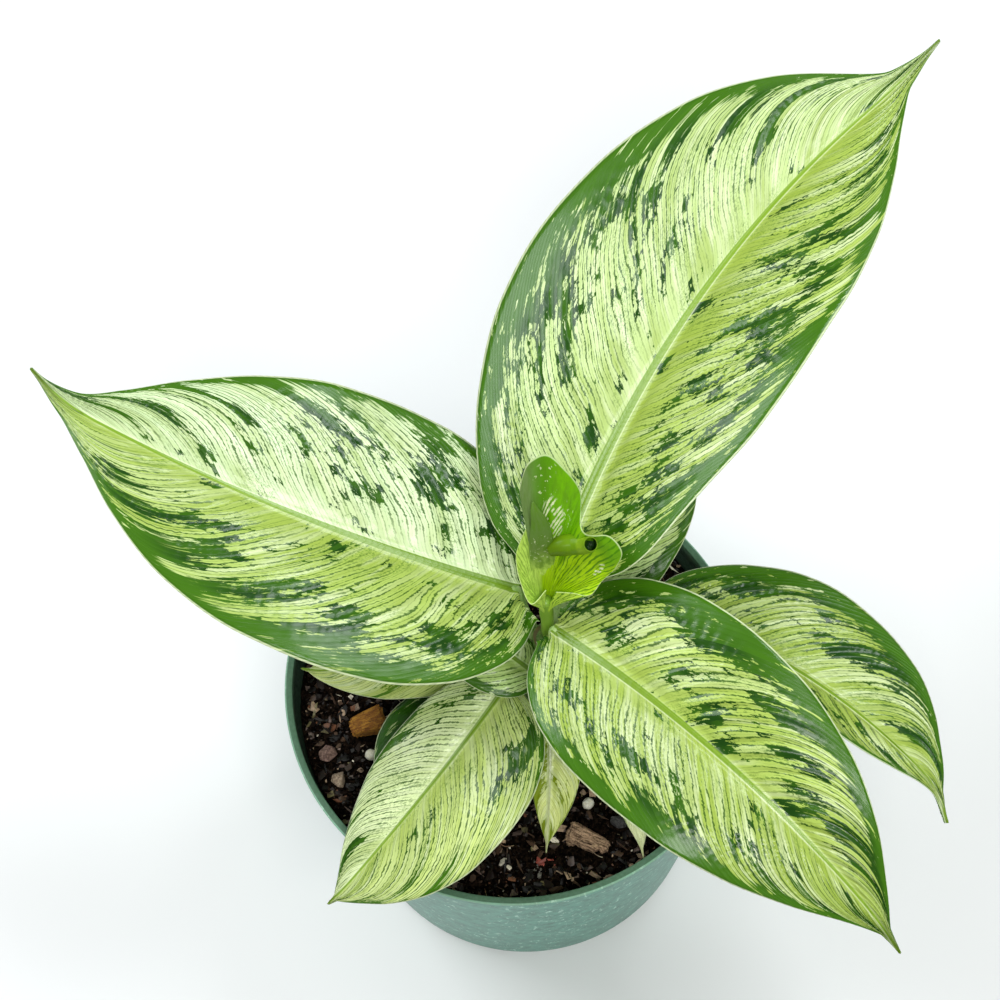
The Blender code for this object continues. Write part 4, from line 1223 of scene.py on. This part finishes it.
# New leaf
# The youngest leaf, still half rolled: a bright green funnel on a pale stalk. Its back half
# stands up as a rounded flap, its right half spreads, and the margin between them is rolled in.
SHOOT_FOOT = Vector((11.6, -5.2, 195)) * MM
SHOOT_RADIUS = 2.1 * MM
SHOOT_STALK_FOOT = Vector((CANE_TIP.x, CANE_TIP.y, 168.6 * MM))
SHOOT_STALK_STEPS = 24
SHOOT_THICKNESS = 0.5 * MM
SHOOT_MARGIN = (
    (0.4, 0, 11), (-4.2, -2.8, 8), (-7, 2.5, 13), (-7.6, 8.7, 18), (-5.2, 12, 26), (-4.6, 17, 36),
    (-4, 20, 45), (-1, 23.6, 50.5), (3.4, 25.2, 51.2), (9.2, 21, 47.8), (12.6, 17.8, 42),
    (13.5, 11.5, 32), (17.1, 8.8, 29), (20.7, 7.1, 29), (23.6, 3, 26), (21.8, 0.7, 22),
    (17, -1.5, 16.5), (13.3, -3.9, 13), (8.1, -1.8, 11), (3.3, -0.5, 10),
)
# Where the margin is drawn in, beside the fold and beside the roll: shares of its length, and mm
SHOOT_NICKS = (
    (0.215, 0.285, 0.306, 0.336, (2.5, -0.6, 1.0)),
    (0.640, 0.682, 0.686, 0.730, (-1.5, -2.6, 1.2)),
)
SHOOT_START_ANGLE = math.radians(-108)
SHOOT_SWEEP = math.radians(-324)
SHOOT_RING_DROP = 1.2
SHOOT_RING_SHARE = 0.8
SHOOT_FLARE = 1.35
SHOOT_RISE = 0.85
SHOOT_ROWS = 64
SHOOT_COLUMNS = 260
SHOOT_RIDGES = 34
SHOOT_RIDGE_HEIGHT = 0.10 * MM
PLACE_AROUND = 100
PLACE_OUTWARD = 40
LIME = (0.37, 0.60, 0.004)
PALE_LIME = (0.51, 0.73, 0.11)
FLAP_GREEN = (0.145, 0.40, 0.002)
DEEP_GREEN = (0.085, 0.25, 0.004)
GREY_OLIVE = (0.145, 0.23, 0.065)
OLIVE = (0.115, 0.225, 0.003)
CREAM = (0.74, 0.80, 0.46)
VEIN_GREEN = (0.055, 0.19, 0.002)
DULL_GREEN = (0.08, 0.18, 0.008)
# Tones along the margin and round the throat, each with the share of the way where it starts
MARGIN_TONES = (
    (0, PALE_LIME), (0.24, (0.34, 0.52, 0.08)), (0.31, GREY_OLIVE), (0.44, DEEP_GREEN),
    (0.50, FLAP_GREEN), (0.67, (0.24, 0.48, 0.005)), (0.81, LIME), (0.90, (0.50, 0.72, 0.03)),
)
THROAT_TONES = ((0, PALE_LIME), (0.45, LIME), (0.88, (0.52, 0.74, 0.04)))
# The fold that runs down from the notch and the roll beside it: (x, y, z, radius) in mm from
# the funnel's foot, how deep each is for its width, and the tones it passes through
SCROLLS = {
    "fold": dict(
        line=((-1.2, 15.6, 40.5, 0.3), (-0.9, 14, 38.5, 1.2), (0.1, 11.8, 34.5, 2.5),
              (0.3, 9, 28.4, 3.5), (0.3, 6.8, 20.8, 3.9), (0.6, 5.0, 13.9, 3.4), (1.2, 3.9, 9.6, 2.2)),
        depth=0.38, flatter=0.85, bore=0, place=220,
        tones=((0, (0.10, 0.19, 0.03)), (0.40, (0.12, 0.20, 0.035)), (0.58, (0.24, 0.38, 0.06)),
               (0.76, PALE_LIME))),
    "roll": dict(
        line=((2.6, 7.3, 24.0, 2.2), (5.7, 7.5, 25.4, 3.1), (9.8, 7.5, 25.8, 3.3), (12.4, 6.6, 27, 3.1),
              (13.9, 5.4, 29, 2.6), (14.5, 4.7, 30.6, 2.2)),
        depth=1, flatter=0, bore=0.88, place=320,
        tones=((0, (0.09, 0.17, 0.002)), (0.30, OLIVE), (0.70, (0.20, 0.33, 0.012)),
               (1, (0.11, 0.22, 0.004)))),
}
SCROLL_SIDES = 48
SCROLL_STEPS = 70
SCROLL_FACING = Vector((0, -0.43, 0.90))
BORE_STEPS = 14
BORE_SHADE_TONE = (0.004, 0.028, 0.002)


def through(points, shares):
    """A smooth curve through points, read at shares of its length, and its knots' shares."""
    points = np.array(points, dtype=float)
    gaps = np.linalg.norm(np.diff(points[:, :3], axis=0), axis=1)
    knots = np.concatenate([[0], np.cumsum(gaps)]) / gaps.sum()
    slopes = np.gradient(points, knots, axis=0)
    at = np.clip(np.searchsorted(knots, shares, side="right") - 1, 0, len(knots) - 2)
    span = (knots[at + 1] - knots[at])[:, None]
    t = (shares - knots[at])[:, None] / span
    rise, fall = slopes[at] * span, slopes[at + 1] * span
    curve = points[at] * (2 * t**3 - 3 * t**2 + 1) + rise * (t**3 - 2 * t**2 + t)
    curve += points[at + 1] * (3 * t**2 - 2 * t**3) + fall * (t**3 - t**2)
    return curve, knots


def blended(share, tones, reach=0.03):
    """Tones that follow each other along a share, each from its own start on."""
    made = np.broadcast_to(np.array(tones[0][1]), (*share.shape, 3))
    for start, tone in tones[1:]:
        weight = ease(start - reach, start + reach, share)[..., None]
        made = made * (1 - weight) + np.array(tone) * weight
    return made


def store_place(mesh, around, outward, share):
    """Stores where each point lies: round the margin, out from the throat, and that as a share."""
    place = np.stack(np.broadcast_arrays(around, outward, share), -1)
    store(mesh, "shoot_place", place.reshape(-1, 3))


def funnel_mesh():
    """The open part of the new leaf: rows from a ring on its stalk out to its margin."""
    c = np.linspace(0, 1, SHOOT_COLUMNS)
    margin, knots = through(SHOOT_MARGIN, c)
    for start, full, hold, end, shift in SHOOT_NICKS:
        margin = margin + (ease(start, full, c) * (1 - ease(hold, end, c)))[:, None] * np.array(shift)
    margin = margin * MM
    t = np.linspace(0, 1, SHOOT_ROWS)[:, None]
    angle = SHOOT_START_ANGLE + SHOOT_SWEEP * np.interp(c, knots, np.linspace(0, 1, len(knots)))
    ring = np.stack([np.cos(angle), np.sin(angle), np.full_like(c, -SHOOT_RING_DROP)], -1)
    ring *= SHOOT_RADIUS * SHOOT_RING_SHARE
    points = ring + (margin - ring) * t[..., None] ** SHOOT_FLARE
    points[..., 2] = ring[:, 2] + (margin[:, 2] - ring[:, 2]) * t**SHOOT_RISE
    points = points + np.array(SHOOT_FOOT)
    normals = unit(np.cross(np.gradient(points, axis=1), np.gradient(points, axis=0)))
    ridge = np.sin(2 * math.pi * SHOOT_RIDGES * c) * ease(0.15, 0.5, t) * (1 - ease(0.9, 1, t))
    ridge = ridge * SHOOT_RIDGE_HEIGHT
    half = SHOOT_THICKNESS / 2 * (1 - 0.5 * t**8)
    inner = points + normals * (half + ridge)[..., None]
    outer = points - normals * (half - ridge)[..., None]
    mesh = shell_mesh("new_leaf", inner, outer, mirrored=True)
    share = np.broadcast_to(c, (SHOOT_ROWS, SHOOT_COLUMNS))
    weight = ease(0.40, 0.62, t - 0.30 * ease(0.66, 0.70, share))[..., None]
    tones = blended(share, THROAT_TONES) * (1 - weight) + blended(share, MARGIN_TONES) * weight
    curled = ease(0.74, 0.90, t) * ease(0.67, 0.70, share) * (1 - ease(0.79, 0.83, share))
    curled = 0.75 * curled[..., None]
    tones = tones * (1 - curled) + np.array(DEEP_GREEN) * curled
    below = tones * 0.6 + np.array(PALE_LIME) * 0.35
    store_tone(mesh, "tone", np.concatenate([tones.reshape(-1, 3), below.reshape(-1, 3)]))
    store_place(mesh, np.stack([share, share]) * PLACE_AROUND, t * PLACE_OUTWARD, t)
    return mesh


def scroll_mesh(scroll):
    """A fold or a roll of the margin: a tube that may be flattened, with a bore at its open end."""
    share = np.linspace(0, 1, SCROLL_STEPS)
    line = through(scroll["line"], share)[0] * MM
    places, radii = line[:, :3] + np.array(SHOOT_FOOT), line[:, 3, None, None]
    ahead = unit(np.gradient(places, axis=0))
    facing, front = np.array(SCROLL_FACING), []
    for way in ahead:
        facing = unit(facing - way * np.dot(facing, way))
        front.append(facing)
    front = np.array(front)
    side = np.cross(front, ahead)
    turns = (np.arange(SCROLL_SIDES) + 0.5) * 2 * math.pi / SCROLL_SIDES - math.pi
    thick = scroll["depth"] * (1 - scroll["flatter"] * ease(0.45, 1.0, share))
    lifted = np.cos(turns) * thick[:, None]
    ring = front[:, None] * lifted[..., None] + side[:, None] * np.sin(turns)[None, :, None]
    rows = places[:, None] + ring * radii
    depth = np.zeros(SCROLL_STEPS)
    if scroll["bore"]:
        back = np.arange(SCROLL_STEPS - 1, SCROLL_STEPS - 1 - BORE_STEPS, -1)
        lip = places[-1] + ahead[-1] * 0.15 * MM + ring[-1] * radii[-1] * (1 + scroll["bore"]) / 2
        inner = places[back][:, None] + ring[back] * radii[back] * scroll["bore"]
        rows = np.concatenate([rows, lip[None], inner])
        share = np.concatenate([share, np.ones(1 + BORE_STEPS)])
        depth = np.concatenate([depth, [0], np.linspace(0.1, 1, BORE_STEPS)])
    faces = tube_faces(len(rows), SCROLL_SIDES, inward=True)
    mesh = mesh_of("scroll", rows.reshape(-1, 3), faces)
    # painted shade: the bore's inside darkens to near black towards its closed end
    dark = ease(0.0, 0.3, depth)[:, None]
    tones = blended(share, scroll["tones"], 0.12) * (1 - dark) + np.array(BORE_SHADE_TONE) * dark
    store_tone(mesh, "tone", np.repeat(tones, SCROLL_SIDES, axis=0))
    store_place(mesh, scroll["place"] + turns[None, :] * 3, share[:, None] * 30, 0.5)
    return mesh


new_leaf_finish, wires = new_material("young leaf", Roughness=0.36, Specular_IOR_Level=0.1,
                                      Coat_Weight=0.04, Coat_Roughness=0.2)
around, outward, share = wires.split(wires.attribute("shoot_place"))
flat = wires.joined(around, outward)


def spots(*patches):
    """Soft patches, each round one place of the new leaf: (around, outward, half width, half height)."""
    made = None
    for middle_around, middle_outward, width, height in patches:
        x, y = (around - middle_around) / width, (outward - middle_outward) / height
        patch = wires.ramp(x * x + y * y, 0.5, 1.1, 1, 0)
        made = wires.most(made, patch) if made else patch
    return made


# fine veins that run together at the throat, strongest on the right half
q = (around + (wires.noise(flat, 0.12, 2) - 0.5) * 3.0) * 0.62
f = wires.math("FRACT", q)
near = wires.least(f, 1.0 - f)
broken = wires.noise(wires.joined(wires.math("ROUND", q) * 3.7, outward * 0.22), 1.0, 3, 0.65)
vein = wires.ramp(wires.ramp(broken, 0.34, 0.62, 0.02, 0.20) - near, -0.05, 0.04)
spread = wires.ramp(around, 62, 68) + wires.ramp(around, 26, 32, 1, 0) * 0.55
vein = vein * (spread * wires.ramp(around, 150, 200, 1, 0)) * wires.ramp(share, 0.15, 0.40)
colour = wires.mixed(vein * 0.85, wires.attribute("tone", "Color"), VEIN_GREEN)

# cream dashes and specks where the spots already show, and duller clouds, most on the fold
slant = around * 0.82 - outward * 0.44
strip, f = wires.math("FLOOR", slant), wires.math("FRACT", slant)
cuts = wires.noise(wires.joined(strip * 5.7, outward * 0.17), 1.0, 1)
inside = 0.5 - wires.math("ABSOLUTE", f - 0.5)
wander = (wires.noise(flat, 0.6, 2, 0.6) - 0.5) * 0.7
dash = wires.ramp(inside + wander, 0.20, 0.27) * wires.ramp(cuts, 0.42, 0.47)
grains = wires.ramp(wires.noise(flat, 0.75, 2, 0.6), 0.60, 0.66)
dashed = spots((52.0, 26.2, 5.6, 5.6), (47.5, 12, 5.0, 3.5), (80, 30.5, 2.2, 2.6))
specked = spots((47.5, 33.5, 4.0, 5.5), (58, 31, 5.0, 3.5), (50, 36.5, 1.6, 2.6), (219, 15, 5.0, 6.0))
pale = wires.most(dash * dashed, grains * (specked * 0.75))
colour = wires.mixed(pale * 0.9, colour, CREAM)
mottle = wires.noise(wires.joined(around * 0.6, outward * 0.25), 1.0, 3, 0.6)
on_fold = wires.ramp(around, 200, 205) * wires.ramp(around, 250, 260, 1, 0)
dulled = wires.ramp(mottle, 0.40, 0.66) * (0.35 + on_fold * 0.35)
colour = wires.mixed(dulled, colour, DULL_GREEN)
colour = wires.mixed(wires.ramp(share, 0.987, 0.995) * 0.45, colour, CREAM)
wires.finish(Base_Color=colour, Normal=wires.bump(near, 0.4, 0.0002))

shoot_top = SHOOT_FOOT + Vector((0, 0, 3)) * MM
shoot_line = []
for step in range(SHOOT_STALK_STEPS + 1):
    place = SHOOT_STALK_FOOT.lerp(shoot_top, step / SHOOT_STALK_STEPS)
    shoot_line.append((place, SHOOT_RADIUS * (1 + 0.05 * math.sin(step * 0.5))))
shoot_stalk, _ = new_material("young stalk", Roughness=0.35, Base_Color=(0.22, 0.40, 0.03))
mesh = with_stalk(funnel_mesh(), shoot_line, Vector((0, -1, 0)), groove=0.25)
add_piece("new_leaf_funnel", mesh, new_leaf_finish, shoot_stalk, node="new_leaf", slot="young_leaf")
for name, scroll in SCROLLS.items():
    add_piece(f"new_leaf_{name}", scroll_mesh(scroll), new_leaf_finish, slot="young_leaf")
